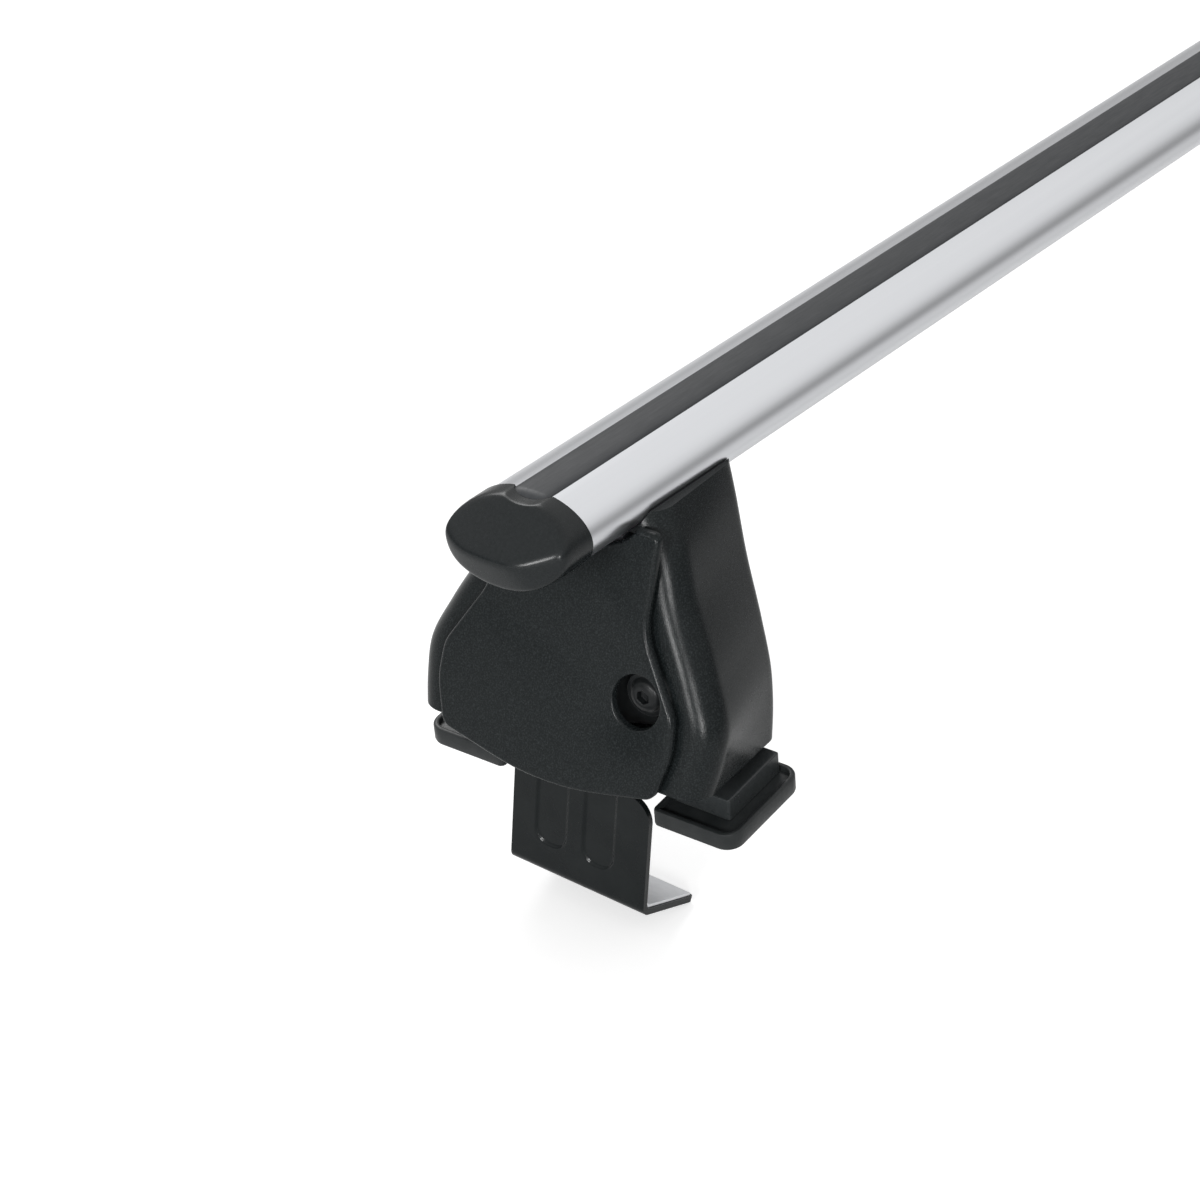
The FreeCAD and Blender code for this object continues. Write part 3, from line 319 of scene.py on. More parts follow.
def carved(mesh, *cutters):
    """The mesh with each cutter taken out of it."""
    work = bpy.data.objects.new("work", mesh)
    bpy.context.scene.collection.objects.link(work)
    tools = []
    for cutter in cutters:
        tool = bpy.data.objects.new("tool", cutter)
        bpy.context.scene.collection.objects.link(tool)
        cut = work.modifiers.new("cut", "BOOLEAN")
        cut.operation = "DIFFERENCE"
        cut.solver = "EXACT"
        cut.object = tool
        tools.append(tool)
    depsgraph = bpy.context.evaluated_depsgraph_get()
    result = bpy.data.meshes.new_from_object(work.evaluated_get(depsgraph))
    for done in [work] + tools:
        bpy.data.objects.remove(done)
    return result


for side in ("left", "right"):
    cap = outward(ring_mesh("cap", at_end(cap_surface(), side)))
    dish = outward(ring_mesh("dish", at_end(egg(DISH_CENTRE, DISH_RADII), side)))
    cap = carved(cap, dish)
    piece = show("cap_moulded_" + side, outward(cap, 38), satin, "bar", "satin_plastic",
                 "end_cap_" + side)
    soften(piece, CAP_ROUNDING, 2, 50)


# The foot housings: tapered black plastic mouldings with a fine spark-eroded grain. Each is
# an open shell that saddles the bar, with broad soft corners towards the car's outside.
grained = finish("grained_plastic", tones=((0.0055, 0.0072, 0.0076), (0.024, 0.028, 0.029)),
                 tone_grain=dict(scale=1700, detail=2, rise=(0.45, 0.85)),
                 roughness=(0.22, 0.28), roughness_grain=dict(scale=900, detail=2),
                 relief=dict(scale=1900, detail=3), strength=0.2, depth=0.1 * MM, shine=0.16)

HOUSING_LEVELS = np.array([-106.0, -90.0, -76.0, -60.0, -35.0, -12.0, -2.0]) * MM
HOUSING_FRONT_HALF = np.array([64.5, 68.0, 69.0, 62.0, 48.0, 37.5, 30.0]) * MM
HOUSING_BACK_HALF = np.array([58.5, 56.5, 53.4, 47.8, 38.0, 30.3, 27.0]) * MM
HOUSING_BACK = 75 * MM
BACK_LEAN = 0.15
FRONT_RADIUS = 11 * MM
BACK_RADIUS = 8 * MM
FRONT_LEAN = 0.235
COVER_FOOT = 5 * MM
COVER_PROUD = 5.5 * MM
HEM = (-100 * MM, -103.5 * MM)
SADDLE_HALF_WIDTH = 25.4 * MM
SADDLE_HALF_HEIGHT = 14.9 * MM
HOUSING_WALL = 3 * MM
HOUSING_CEILING = -5 * MM
HOUSING_DEPTH = -112 * MM
HOUSING_ROUNDING = 1.2 * MM
SADDLE_RUN = (-20 * MM, 120 * MM)
SADDLE_STEPS = 96
DOOR = np.array([(30, -10), (30, -45), (45, -64), (45, -120),
                 (-45, -120), (-45, -64), (-30, -45), (-30, -10)]) * MM
DOOR_RUN = (-10 * MM, 45 * MM)
OUTLINE_STEPS = {"front_wall": 16, "front_corner": 18, "side": 14, "back_corner": 12,
                 "back_wall": 16}


def cover_face(z):
    """How far inboard the cover's leaning outer face lies at a height: it leans by a fixed
    share of the height over the cover's foot."""
    return COVER_FOOT + FRONT_LEAN * (z - HEM[0])


def flowing(level, levels, values):
    """A smooth curve through values at rising levels: cubic Hermite pieces whose slopes are
    the mean slopes of their neighbours."""
    slopes = np.gradient(values, levels)
    place = np.clip(np.searchsorted(levels, level) - 1, 0, len(levels) - 2)
    step = levels[place + 1] - levels[place]
    t = (level - levels[place]) / step
    from_value, to_value = 2 * t ** 3 - 3 * t ** 2 + 1, 3 * t ** 2 - 2 * t ** 3
    from_slope, to_slope = t ** 3 - 2 * t ** 2 + t, t ** 3 - t ** 2
    return (from_value * values[place] + to_value * values[place + 1]
            + step * (from_slope * slopes[place] + to_slope * slopes[place + 1]))


def round_corner(centre, radius, angle):
    """Points on a corner's arc: centre + radius (cos a, sin a)."""
    return centre + radius * np.stack([np.cos(angle), np.sin(angle)])


def housing_outline(z, wall):
    """Points (x, y) of the housing's half outline at heights z, a grid with one column for
    each point from the front's middle round to the back's: a straight front, a corner of
    radius r whose points are centre + r (cos a, sin a), a straight side, a second corner and
    a straight back. A wall moves the whole outline inwards."""
    front = cover_face(z) + COVER_PROUD + wall
    back = HOUSING_BACK + BACK_LEAN * (z - HEM[1]) - wall
    front_half = flowing(z, HOUSING_LEVELS, HOUSING_FRONT_HALF) - wall
    back_half = flowing(z, HOUSING_LEVELS, HOUSING_BACK_HALF) - wall
    near_radius, far_radius = FRONT_RADIUS - wall, BACK_RADIUS - wall
    lean = np.arctan2(front_half - back_half, back - front)
    near = np.stack([front + near_radius,
                     front_half - near_radius * np.tan((math.pi / 2 + lean) / 2)])
    far = np.stack([back - far_radius, back_half - far_radius * np.tan((math.pi / 2 - lean) / 2)])
    edge = np.stack([np.sin(lean), np.cos(lean)])
    stops = np.cumsum([0] + list(OUTLINE_STEPS.values()))
    front_wall, corner, side, far_corner, back_wall = (
        slice(first, last) for first, last in zip(stops[:-1], stops[1:]))
    share = np.concatenate([(np.arange(steps) + 0.5) / steps
                            for steps in OUTLINE_STEPS.values()])
    share = np.broadcast_to(share, z.shape)
    outline = np.empty((2,) + z.shape)
    outline[0, :, front_wall] = front[:, front_wall]
    outline[1, :, front_wall] = near[1][:, front_wall] * share[:, front_wall]
    angle = math.pi - (math.pi / 2 + lean[:, corner]) * share[:, corner]
    outline[:, :, corner] = round_corner(near[:, :, corner], near_radius, angle)
    start = (near + near_radius * edge)[:, :, side]
    end = (far + far_radius * edge)[:, :, side]
    outline[:, :, side] = start + (end - start) * share[:, side]
    angle = (math.pi / 2 - lean[:, far_corner]) * (1 - share[:, far_corner])
    outline[:, :, far_corner] = round_corner(far[:, :, far_corner], far_radius, angle)
    outline[0, :, back_wall] = back[:, back_wall]
    outline[1, :, back_wall] = far[1][:, back_wall] * (1 - share[:, back_wall])
    return np.moveaxis(outline, 0, -1)


def housing_block(wall, top, foot, rows=64):
    """A closed block through the housing's levels, z = foot + (top - foot) t, where the foot
    is a height for each column; a wall makes the block that hollows it."""
    foot = np.broadcast_to(foot, sum(OUTLINE_STEPS.values()))
    z = foot + (top - foot) * np.linspace(0, 1, rows)[:, None]
    half = np.concatenate([housing_outline(z, wall), z[..., None]], -1)
    return np.concatenate([half, half[:, ::-1] * (1, -1, 1)], 1)


def housing_hem():
    """The height of the housing's lower edge at each column: level at the front, and dropping
    towards the back."""
    columns = sum(OUTLINE_STEPS.values())
    x = housing_outline(np.full((1, columns), HEM[0]), 0)[0, :, 0]
    return HEM[0] + (HEM[1] - HEM[0]) * np.clip(x / HOUSING_BACK, 0, 1)


def tunnel(ring, run):
    """A closed ring (y, z) carried straight along x, from a run's start to its end."""
    x = np.array(run)[:, None]
    return np.stack(np.broadcast_arrays(x, ring[:, 0], ring[:, 1]), -1)


def saddle_cutter(side):
    """The bar's seat in the housing: an oval carried along the bar."""
    angles = np.linspace(0, 2 * math.pi, SADDLE_STEPS, endpoint=False)
    ring = oval(angles, SADDLE_HALF_WIDTH, SADDLE_HALF_HEIGHT)
    return outward(ring_mesh("saddle", at_end(tunnel(ring, SADDLE_RUN), side)))


def door_cutter(side):
    """The opening behind the cover: narrow beside the bar, wide at the hook."""
    return outward(ring_mesh("door", at_end(tunnel(DOOR, DOOR_RUN), side)))


for side in ("left", "right"):
    block = outward(ring_mesh("housing", at_end(
        housing_block(0, HOUSING_LEVELS[-1], housing_hem()), side)))
    hollow = outward(ring_mesh("hollow", at_end(
        housing_block(HOUSING_WALL, HOUSING_CEILING, HOUSING_DEPTH), side)))
    shell = carved(block, hollow, saddle_cutter(side), door_cutter(side))
    piece = show("housing_moulded_" + side, outward(shell, 35), grained, "foot_" + side,
                 "grained_plastic", "foot_housing_" + side)
    soften(piece, HOUSING_ROUNDING, 3, 50)


# The foot covers: matt moulded plates that snap over the housings' fronts and hide the
# clamp. Each has a bright soft edge and a hole for the key.
COVER_THICKNESS = 3 * MM
COVER_EDGE = 1.8 * MM
COVER_SIDE = np.array([(35.5, -5.5, 3), (35.0, -42.0, 25), (52.0, -70.0, 14),
                       (53.0, -84.0, 30), (48.0, -101.5, 6), (0.0, -111.5, 120)]) * MM
ARCH = (27.1 * MM, 16.6 * MM)
ARCH_STEPS = 40
COVER_SPACING = 2 * MM
KEY_HOLE = (-35.5 * MM, -67.5 * MM)
KEY_HOLE_RADIUS = 10.25 * MM
KEY_HOLE_STEPS = 64
KEY_HOLE_PROFILE = np.array([(0, 3), (0, 0.8), (0.25, 0.25), (0.8, 0)]) * MM
EDGE_STEPS = 6
COVER_STEPS = 10


def rounded_outline(corners, steps=COVER_STEPS):
    """A closed outline through corners (y, z, radius): each corner is an arc that meets its
    two sides, and the sides run straight between the arcs."""
    points = np.array([corner[:2] for corner in corners], float)
    outline = []
    for index, (y, z, radius) in enumerate(corners):
        here = points[index]
        back = points[index - 1] - here
        onward = points[(index + 1) % len(points)] - here
        back /= np.linalg.norm(back)
        onward /= np.linalg.norm(onward)
        half = math.acos(np.clip(back @ onward, -1, 1)) / 2
        centre = here + (back + onward) / np.linalg.norm(back + onward) * radius / math.sin(half)
        first = here + back * radius / math.tan(half) - centre
        last = here + onward * radius / math.tan(half) - centre
        start = math.atan2(first[1], first[0])
        turn = math.atan2(last[1], last[0]) - start
        turn = (turn + math.pi) % (2 * math.pi) - math.pi
        angles = start + turn * np.linspace(0, 1, steps)
        outline.append(centre + radius * np.stack([np.cos(angles), np.sin(angles)], -1))
    return np.concatenate(outline)


def resampled(outline, spacing):
    """The closed outline with each side divided into the whole number of steps nearest to a
    spacing: point i of n is here + (onward - here) i / n."""
    sides = np.roll(outline, -1, 0) - outline
    parts = np.maximum(1, np.rint(np.linalg.norm(sides, axis=1) / spacing)).astype(int)
    first = np.repeat(np.cumsum(parts) - parts, parts)
    share = (np.arange(parts.sum()) - first) / np.repeat(parts, parts)
    return np.repeat(outline, parts, 0) + np.repeat(sides, parts, 0) * share[:, None]


def inset(outline, depth):
    """Each point of a closed outline moved inwards: its tangent is the sum of its two sides'
    directions, and it moves a depth along the normal to that."""
    before = outline - np.roll(outline, 1, 0)
    after = np.roll(outline, -1, 0) - outline
    before /= np.linalg.norm(before, axis=1)[:, None]
    after /= np.linalg.norm(after, axis=1)[:, None]
    tangent = before + after
    tangent /= np.linalg.norm(tangent, axis=1)[:, None]
    onward = np.roll(outline, -1, 0)
    area = np.sum(outline[:, 0] * onward[:, 1] - outline[:, 1] * onward[:, 0])
    normal = np.stack([-tangent[:, 1], tangent[:, 0]], -1) * np.sign(area)
    return outline + normal * depth


def filled(mesh, *loops):
    """Fills the flat face between closed loops of vertex numbers. An edge is on a loop where
    both its ends are."""
    ends = np.empty((len(mesh.edges), 2), int)
    mesh.edges.foreach_get("vertices", ends.ravel())
    on_loops = np.isin(ends, np.concatenate(loops)).all(1)
    shape = bmesh.new()
    shape.from_mesh(mesh)
    shape.edges.ensure_lookup_table()
    edges = [shape.edges[number] for number in np.flatnonzero(on_loops)]
    bmesh.ops.triangle_fill(shape, edges=edges, use_beauty=True)
    shape.to_mesh(mesh)
    shape.free()
    return mesh


def plate_mesh(name, rim, hole):
    """A plate through the rings of its rim and of its round hole, with a flat face between
    their first rings and another between their last."""
    mesh = ring_mesh(name, rim, ends=False)
    shape = bmesh.new()
    shape.from_mesh(mesh)
    shape.from_mesh(ring_mesh(name, hole, ends=False))
    shape.to_mesh(mesh)
    shape.free()
    around, within = rim.shape[0] * rim.shape[1], hole.shape[0] * hole.shape[1]
    rim_numbers = np.arange(around).reshape(rim.shape[:2])
    hole_numbers = np.arange(around, around + within).reshape(hole.shape[:2])
    for end in (0, -1):
        filled(mesh, rim_numbers[end], hole_numbers[end])
    return mesh


def cover_outline():
    """The cover's outline: an arch that follows the bar, a waist, an elbow and a toe."""
    corners = np.concatenate([COVER_SIDE, COVER_SIDE[-2::-1] * (-1, 1, 1)])
    start = math.asin(COVER_SIDE[0, 1] / ARCH[1])
    arch = oval(np.linspace(math.pi - start, 2 * math.pi + start, ARCH_STEPS), *ARCH)
    return resampled(np.concatenate([rounded_outline(corners), arch]), COVER_SPACING)


def on_cover(points, depth):
    """Points of the cover's outline at a depth behind its leaning face."""
    return np.column_stack([cover_face(points[:, 1]) + depth, points])


def cover_rim():
    """Rings of the cover's rim: its outline, moved inwards round the front edge along a quarter
    circle, where the inset is e (1 - cos t) and the depth e (1 - sin t)."""
    quarter = np.linspace(0, math.pi / 2, EDGE_STEPS)
    insets = np.append(0, COVER_EDGE * (1 - np.cos(quarter)))
    depths = np.append(COVER_THICKNESS, COVER_EDGE * (1 - np.sin(quarter)))
    outline = cover_outline()
    return np.array([on_cover(inset(outline, step), depth)
                     for step, depth in zip(insets, depths)])


def key_hole():
    """Rings of the key hole: circles centre + (r + step) (cos a, sin a), where the steps
    widen it towards the cover's face."""
    angles = np.linspace(0, 2 * math.pi, KEY_HOLE_STEPS, endpoint=False)
    circle = np.stack([np.cos(angles), np.sin(angles)], -1)
    return np.array([on_cover(KEY_HOLE + (KEY_HOLE_RADIUS + step) * circle, depth)
                     for step, depth in KEY_HOLE_PROFILE])


for side in ("left", "right"):
    cover = plate_mesh("cover", at_end(cover_rim(), side), at_end(key_hole(), side))
    show("cover_moulded_" + side, outward(cover, 40), grained, "cover_" + side,
         "grained_plastic", "foot_cover_" + side)


# The clamp inside each foot: a folded steel frame with its pins, bolts and nuts, the plate
# that the tightening bolt pushes, and a rubber saddle. The steel is zinc plated; the bolt and
# washer that show in the key hole are blackened, and the clamp plate behind them is coloured
# near black as painted shade inside the hole.
WORKS_ROUNDING = 0.25 * MM

zinc = finish("zinc_steel", tones=((0.50, 0.51, 0.53), (0.66, 0.67, 0.68)),
              tone_grain=dict(scale=90, detail=5), roughness=(0.22, 0.42),
              roughness_grain=dict(scale=300, detail=4),
              relief=dict(scale=1500, detail=2), strength=0.1, depth=0.06 * MM, metallic=1.0)
# Near-black steel: blackened on the bolt and washer, and painted shade on the clamp plate.
blackened_and_shade = finish("blackened_steel_and_shade", tones=((0.006, 0.007, 0.0075), (0.010, 0.011, 0.0115)),
                   tone_grain=dict(scale=300, detail=3), roughness=(0.28, 0.4),
                   roughness_grain=dict(scale=500, detail=3), shine=0.2)

CLAMP_WORKS = {
    "clamp_frame": ("foot", zinc, "zinc_steel"), "bar_bolts": ("foot", zinc, "zinc_steel"),
    "bar_nuts": ("foot", zinc, "zinc_steel"), "clamp_pivot_pin": ("foot", zinc, "zinc_steel"),
    "pad_pivot_pin": ("foot", zinc, "zinc_steel"), "clamp_nut": ("foot", zinc, "zinc_steel"),
    # The clamp plate is painted near black to stand for the shade inside the key hole.
    "clamp_plate": ("bracket", blackened_and_shade, "black_steel"),
    "bracket_rivets": ("bracket", zinc, "zinc_steel"),
    "tightening_bolt": ("bolt", blackened_and_shade, "black_steel"),
    "bolt_washer": ("washer", blackened_and_shade, "black_steel"),
    "saddle_pad": ("foot", strip_rubber, "strip_rubber"),
}


def dressed_copy(node, body, material, slot, rounding):
    """A joined-up copy of a plain solid, with small roundings on its edges."""
    mesh = outward(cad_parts[node].data.copy(), 30)
    piece = show(node + "_dressed", mesh, material, body, slot, node)
    return soften(piece, rounding, 2, 50)


for side in ("left", "right"):
    for name, (body, material, slot) in CLAMP_WORKS.items():
        dressed_copy(f"{name}_{side}", f"{body}_{side}", material, slot,
                     WORKS_ROUNDING)


# The hook brackets: pressed steel straps, powder coated black, with two ribs pressed in
# and the foot folded inboard under the door frame. Two rivets hold each to its clamp plate.
coated = finish("black_steel", tones=((0.0052, 0.0068, 0.0072), (0.008, 0.0098, 0.0102)),
                tone_grain=dict(scale=90, detail=3), roughness=(0.17, 0.24),
                roughness_grain=dict(scale=120, detail=2),
                relief=dict(scale=380, detail=1), strength=0.03, depth=0.08 * MM, shine=0.15)
coated_shader = coated.node_tree.nodes["Principled BSDF"]
coated_shader.inputs["Coat Weight"].default_value = 0.05
coated_shader.inputs["Coat Roughness"].default_value = 0.12

BRACKET_FRONT = 27.1 * MM
BRACKET_GAUGE = 2.5 * MM
TONGUE_TOP = -84 * MM
TONGUE_HALF = 21 * MM
SHOULDER = -118 * MM
SHOULDER_RADIUS = 10 * MM
BRACKET_HALF = 31.25 * MM
FOLD = -167.5 * MM
FOLD_RADIUS = 2.5 * MM
DROOP = math.radians(20)
HOOK_REACH = 63 * MM
HOOK_CORNER = 3 * MM
ROLL = math.radians(3.4)
ROLL_CENTRE = -142 * MM
RIB_CENTRES = (-8.8 * MM, 13.2 * MM)
RIB_HALF_WIDTH = 7 * MM
RIB_TOP = -99 * MM
RIB_BOTTOM = -156 * MM
RIB_CORNER = 6 * MM
RIB_DEPTH = 1.0 * MM
RIB_WALL = 1.2 * MM
STRAP_STEP = 0.5 * MM
SHOULDER_STEP = 0.01 * MM
FOLD_STEPS = 12
HOOK_STEPS = 26
TIP_ANGLES = (0.2, math.pi / 2)
TIP_STEPS = 8
STRAP_ROUNDING = 0.4 * MM


def strap_path():
    """The strap's front face in the x-z plane, from the tongue down, round the fold and
    along the hook: its points and their outward normals. The fold is centre - r (cos a, sin a),
    and the last steps of the hook shrink as a cosine."""
    outer = FOLD_RADIUS + BRACKET_GAUGE
    turn = math.pi / 2 - DROOP
    centre = np.array([BRACKET_FRONT + outer, FOLD + FOLD_RADIUS * math.tan(turn / 2)])
    down = np.linspace(TONGUE_TOP, centre[1], int((TONGUE_TOP - centre[1]) / STRAP_STEP))
    down = np.unique(np.concatenate([down, [SHOULDER + SHOULDER_STEP, SHOULDER]]))[::-1]
    straight = np.stack([np.full(len(down), BRACKET_FRONT), down], -1)
    angles = np.linspace(0, turn, FOLD_STEPS)[1:]
    arc_normals = -np.stack([np.cos(angles), np.sin(angles)], -1)
    arc = centre + outer * arc_normals
    along = np.array([math.sin(turn), -math.cos(turn)])
    length = (HOOK_REACH - arc[-1][0]) / along[0]
    tip = HOOK_CORNER * np.cos(np.linspace(*TIP_ANGLES, TIP_STEPS))
    runs = np.concatenate([np.linspace(0, length - HOOK_CORNER, HOOK_STEPS)[1:], length - tip])
    hook = arc[-1] + runs[:, None] * along
    points = np.concatenate([straight, arc, hook])
    normals = np.concatenate([np.tile([-1.0, 0.0], (len(straight), 1)), arc_normals,
                              np.tile(arc_normals[-1], (len(hook), 1))])
    return points, normals


def strap_half_width(points):
    """Half the strap's width along its path: a narrow tongue, round shoulders, a full width
    and round corners at the hook's tip."""
    x, z = points[:, 0], points[:, 1]
    below = np.clip(SHOULDER - z, 0, SHOULDER_RADIUS)
    shoulder = BRACKET_HALF - SHOULDER_RADIUS + np.sqrt(
        np.maximum(SHOULDER_RADIUS ** 2 - (SHOULDER_RADIUS - below) ** 2, 0))
    half = np.where(z > SHOULDER, TONGUE_HALF, shoulder)
    end = np.clip((HOOK_REACH - x) / math.cos(DROOP), 0, HOOK_CORNER)
    tip = HOOK_CORNER - np.sqrt(np.maximum(HOOK_CORNER ** 2 - (HOOK_CORNER - end) ** 2, 0))
    return half - tip


def rib_dent(y, z):
    """How deep the ribs are pressed at a point of the strap: full inside a long slot with round
    corners, none outside it, and between them the smooth step 3 t^2 - 2 t^3."""
    dent = np.zeros_like(y)
    middle, half_height = (RIB_TOP + RIB_BOTTOM) / 2, (RIB_TOP - RIB_BOTTOM) / 2
    for centre in RIB_CENTRES:
        beside = np.maximum(np.abs(y - centre) - (RIB_HALF_WIDTH - RIB_CORNER), 0)
        beyond = np.maximum(np.abs(z - middle) - (half_height - RIB_CORNER), 0)
        gap = np.hypot(beside, beyond) - RIB_CORNER
        share = np.clip(0.5 - gap / RIB_WALL, 0, 1)
        dent = np.maximum(dent, share * share * (3 - 2 * share))
    return dent * RIB_DEPTH


def rolled(points):
    """Points of the bracket turned in its own plane, as the photographed one is."""
    y, z = points[..., 1].copy(), points[..., 2] - ROLL_CENTRE
    turned = points.copy()
    turned[..., 1] = y * math.cos(ROLL) - z * math.sin(ROLL)
    turned[..., 2] = y * math.sin(ROLL) + z * math.cos(ROLL) + ROLL_CENTRE
    return turned


def strap_rings(columns=150):
    """Rings across the strap: its front face from side to side, then its back face."""
    points, normals = strap_path()
    half = strap_half_width(points)
    share = np.linspace(-1, 1, columns)
    y = half[:, None] * share[None, :]
    z = np.broadcast_to(points[:, 1][:, None], y.shape)
    dent = rib_dent(y, z)
    faces = []
    for depth in (0.0, BRACKET_GAUGE):
        shift = dent + depth
        x = points[:, 0][:, None] - normals[:, 0][:, None] * shift
        height = points[:, 1][:, None] - normals[:, 1][:, None] * shift
        faces.append(np.stack([x, y, height], -1))
    return rolled(np.concatenate([faces[0], faces[1][:, ::-1]], 1))


for side in ("left", "right"):
    strap = outward(ring_mesh("strap", at_end(strap_rings(), side)), 50)
    piece = show("bracket_pressed_" + side, strap, coated, "bracket_" + side, "black_steel",
                 "clamp_bracket_" + side)
    soften(piece, STRAP_ROUNDING, 2, 60)


# The hook linings: thin pale rubber, moulded to the hooks and stuck on their upper faces, so
# that the steel doesn't scratch the door frame.
LINING_ROUNDING = 0.3 * MM

pale = finish("pale_lining", tones=((0.78, 0.79, 0.81), (0.84, 0.85, 0.87)),
              tone_grain=dict(scale=200, detail=4), roughness=(0.5, 0.7),
              roughness_grain=dict(scale=500, detail=3),
              relief=dict(scale=1800, detail=2), strength=0.2, depth=0.1 * MM, shine=0.3)
for side in ("left", "right"):
    dressed_copy("bracket_lining_" + side, "bracket_" + side, pale, "pale_lining",
                 LINING_ROUNDING)


# The roof pads: smooth black rubber mouldings, each with a raised rim and a groove round the
# hard plastic carrier that is bonded into it and hinged to the foot by a pin.
PAD_FRONT = 25.5 * MM
PAD_SOLE = -127 * MM
PAD_TILT = math.radians(7.5)
PAD_HALF = 71 * MM
PAD_DEPTH = 48 * MM
PAD_NOTCH = (26 * MM, 34.7 * MM)
PAD_CORNER = 7 * MM
PAD_NOTCH_MOUTH = 2.5 * MM
PAD_NOTCH_CORNER = 5 * MM
PAD_SPACING = 3 * MM
PAD_PROFILE = np.array([(0.9, 0.0), (0.25, 0.25), (0.0, 0.9), (0.0, 6.7), (0.25, 7.25),
                        (0.8, 7.5), (1.7, 7.5), (2.1, 7.3), (2.25, 6.8), (2.4, 5.5)]) * MM
CARRIER_ROUNDING = 1.0 * MM

pad_rubber = finish("pad_rubber", tones=((0.012, 0.014, 0.0145), (0.019, 0.021, 0.0215)),
                    tone_grain=dict(scale=160, detail=4), roughness=(0.30, 0.38),
                    roughness_grain=dict(scale=420, detail=3),
                    relief=dict(scale=1600, detail=2), strength=0.08, depth=0.1 * MM,
                    shine=0.25)
hard_plastic = finish("carrier_plastic", tones=((0.020, 0.023, 0.024), (0.030, 0.033, 0.034)),
                      tone_grain=dict(scale=900, detail=3), roughness=(0.26, 0.34),
                      roughness_grain=dict(scale=260, detail=4),
                      relief=dict(scale=2600, detail=2), strength=0.1, depth=0.06 * MM,
                      shine=0.3)


def pad_outline():
    """The pad's outline in its own plane: a long block notched from its outboard edge."""
    depth, half = PAD_NOTCH
    corners = [(0, -PAD_HALF, PAD_CORNER), (PAD_DEPTH, -PAD_HALF, PAD_CORNER),
               (PAD_DEPTH, PAD_HALF, PAD_CORNER), (0, PAD_HALF, PAD_CORNER),
               (0, half, PAD_NOTCH_MOUTH), (depth, half, PAD_NOTCH_CORNER),
               (depth, -half, PAD_NOTCH_CORNER), (0, -half, PAD_NOTCH_MOUTH)]
    return resampled(rounded_outline(corners), PAD_SPACING)


def on_roof(points, height):
    """Points of the pad's plane at a height above its tilted sole: the plane and the height
    are turned together by the tilt."""
    x = PAD_FRONT + points[:, 0] * math.cos(PAD_TILT) - height * math.sin(PAD_TILT)
    z = PAD_SOLE + points[:, 0] * math.sin(PAD_TILT) + height * math.cos(PAD_TILT)
    return np.column_stack([x, points[:, 1], z])


def pad_rings():
    """Rings of the pad: its outline, moved inwards and up by each step of its profile."""
    outline = pad_outline()
    return np.array([on_roof(inset(outline, step), height) for step, height in PAD_PROFILE])


for side in ("left", "right"):
    rings = at_end(pad_rings(), side)
    numbers = np.arange(rings.shape[0] * rings.shape[1]).reshape(rings.shape[:2])
    pad = ring_mesh("pad", rings, ends=False)
    filled(filled(pad, numbers[0]), numbers[-1])
    show("pad_moulded_" + side, outward(pad, 40), pad_rubber, "pad_" + side, "pad_rubber",
         "rubber_pad_" + side)
    dressed_copy("pad_carrier_" + side, "pad_" + side, hard_plastic, "carrier_plastic",
                 CARRIER_ROUNDING)


# The studio: a pale floor just under the hooks, with a light surround behind it. The floor
# shows white to the camera and keeps the object's shadow.
FLOOR_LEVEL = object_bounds()[0][2] - 0.5 * MM
FLOOR_HALF = 12.0
FLOOR_COLOUR = (0.8, 0.8, 0.8, 1)
FLOOR_ROUGHNESS = 0.9
GLOWS = {"Is Camera Ray": 0.48, "Is Glossy Ray": 0.13}

floor_finish = bpy.data.materials.new("studio_floor")
floor_finish.use_nodes = True
nodes, links = floor_finish.node_tree.nodes, floor_finish.node_tree.links
diffuse = nodes["Principled BSDF"]
diffuse.inputs["Base Color"].default_value = FLOOR_COLOUR
diffuse.inputs["Roughness"].default_value = FLOOR_ROUGHNESS
diffuse.inputs["Specular IOR Level"].default_value = 0.0
rays = nodes.new("ShaderNodeLightPath")
lift = nodes.new("ShaderNodeMath")
lift.operation = "MAXIMUM"
for place, (ray, strength) in enumerate(GLOWS.items()):
    share = nodes.new("ShaderNodeMath")
    share.operation = "MULTIPLY"
    share.inputs[1].default_value = strength
    links.new(rays.outputs[ray], share.inputs[0])
    links.new(share.outputs[0], lift.inputs[place])
glow = nodes.new("ShaderNodeEmission")
links.new(lift.outputs[0], glow.inputs["Strength"])
both = nodes.new("ShaderNodeAddShader")
links.new(diffuse.outputs[0], both.inputs[0])
links.new(glow.outputs[0], both.inputs[1])
links.new(both.outputs[0], nodes["Material Output"].inputs["Surface"])

floor_corners = np.array([(-1, -1, 0), (1, -1, 0), (1, 1, 0), (-1, 1, 0)]) * FLOOR_HALF
floor_mesh = bpy.data.meshes.new("floor")
floor_mesh.from_pydata((floor_corners + (0, 0, FLOOR_LEVEL)).tolist(), [], [(0, 1, 2, 3)])
floor = bpy.data.objects.new("floor", floor_mesh)
floor.data.materials.append(floor_finish)
bpy.context.scene.collection.objects.link(floor)


# The surround: plain light from all round. Gloss sees it darker near the horizon than
# overhead, as the walls of a room are, and the camera sees white.
SURROUND = 0.5
WALL_TOP = (0.15, 0.55)
WALL_GLOW = 0.35
SKY_GLOW = 1.0

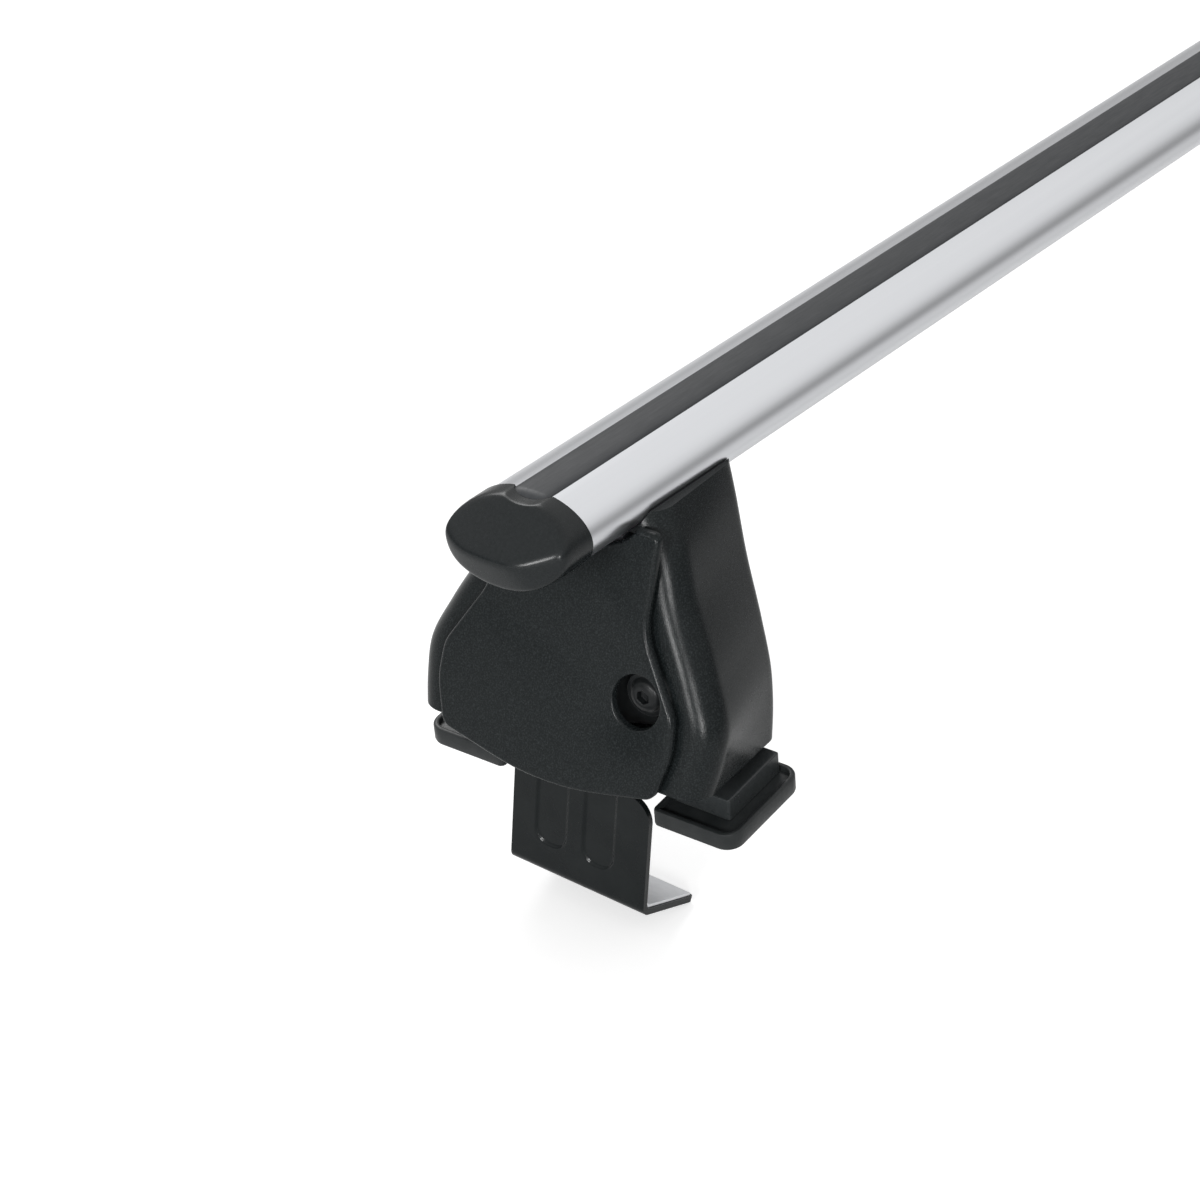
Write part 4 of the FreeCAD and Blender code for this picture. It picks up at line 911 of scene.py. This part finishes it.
world = bpy.data.worlds.new("surround")
bpy.context.scene.world = world
world.use_nodes = True
nodes, links = world.node_tree.nodes, world.node_tree.links
rays = nodes.new("ShaderNodeLightPath")
direction = nodes.new("ShaderNodeTexCoord")
axes = nodes.new("ShaderNodeSeparateXYZ")
links.new(direction.outputs["Generated"], axes.inputs[0])
walls = nodes.new("ShaderNodeMapRange")
walls.interpolation_type = "SMOOTHSTEP"
walls.inputs["From Min"].default_value, walls.inputs["From Max"].default_value = WALL_TOP
walls.inputs["To Min"].default_value = WALL_GLOW
walls.inputs["To Max"].default_value = SKY_GLOW
links.new(axes.outputs["Z"], walls.inputs["Value"])
level = nodes.new("ShaderNodeMix")
level.data_type = "FLOAT"
level.inputs["A"].default_value = SURROUND
links.new(rays.outputs["Is Glossy Ray"], level.inputs["Factor"])
links.new(walls.outputs["Result"], level.inputs["B"])
brightest = nodes.new("ShaderNodeMath")
brightest.operation = "MAXIMUM"
links.new(rays.outputs["Is Camera Ray"], brightest.inputs[0])
links.new(level.outputs["Result"], brightest.inputs[1])
links.new(brightest.outputs[0], nodes["Background"].inputs["Strength"])
nodes["Background"].inputs["Color"].default_value = (1, 1, 1, 1)


# The lamps: three soft squares round the near foot, each given by its heading from the foot,
# its size and its power. Two draw the highlights on the edges, and one fills in from behind.
LAMPS = {
    "side": ((-0.73, -0.63, 0.24), 0.3, 18),
    "front": ((-0.93, -0.12, 0.30), 0.45, 28),
    "back": ((0.45, 0.62, 0.75), 0.9, 14),
}
LAMP_DISTANCE = 2.2
LAMP_TARGET = Vector((-BAR_END, 0, BAR_CENTRE - 50 * MM))

for name, (heading, size, power) in LAMPS.items():
    lamp = bpy.data.lights.new(name, "AREA")
    lamp.shape = "SQUARE"
    lamp.size = size
    lamp.energy = power
    holder = bpy.data.objects.new(name, lamp)
    holder.location = LAMP_TARGET + Vector(heading).normalized() * LAMP_DISTANCE
    holder.rotation_euler = (-Vector(heading)).to_track_quat("-Z", "Y").to_euler()
    bpy.context.scene.collection.objects.link(holder)


# The camera stands where the photograph was taken from: outboard of the near foot, to its
# right, looking down along the bar.
VIEW_TURN = math.radians(54.85)
VIEW_DROP = math.radians(29.18)
FOCAL_PIXELS = 3697
FRAME_PIXELS = 1200
SENSOR = 36.0
SIGHT_LIMIT = 100
BAR_END_PIXEL = (534.37, 526.15)
DISTANCE = 1320 * MM

right = Vector((math.cos(VIEW_TURN), -math.sin(VIEW_TURN), 0))
forward = Vector((math.cos(VIEW_DROP) * math.sin(VIEW_TURN),
                  math.cos(VIEW_DROP) * math.cos(VIEW_TURN), -math.sin(VIEW_DROP)))
up = right.cross(forward)
half_frame = FRAME_PIXELS / 2
aside = (BAR_END_PIXEL[0] - half_frame) / FOCAL_PIXELS * DISTANCE
above = (half_frame - BAR_END_PIXEL[1]) / FOCAL_PIXELS * DISTANCE
near_end = Vector((-BAR_END, 0, BAR_CENTRE))
camera = bpy.data.objects.new("camera", bpy.data.cameras.new("camera"))
bpy.context.scene.collection.objects.link(camera)
camera.location = near_end - forward * DISTANCE - right * aside - up * above
camera.rotation_euler = forward.to_track_quat("-Z", "Y").to_euler()
camera.data.sensor_width = SENSOR
camera.data.lens = FOCAL_PIXELS / FRAME_PIXELS * SENSOR
camera.data.clip_end = SIGHT_LIMIT
bpy.context.scene.camera = camera
bpy.context.scene.view_settings.view_transform = "Standard"
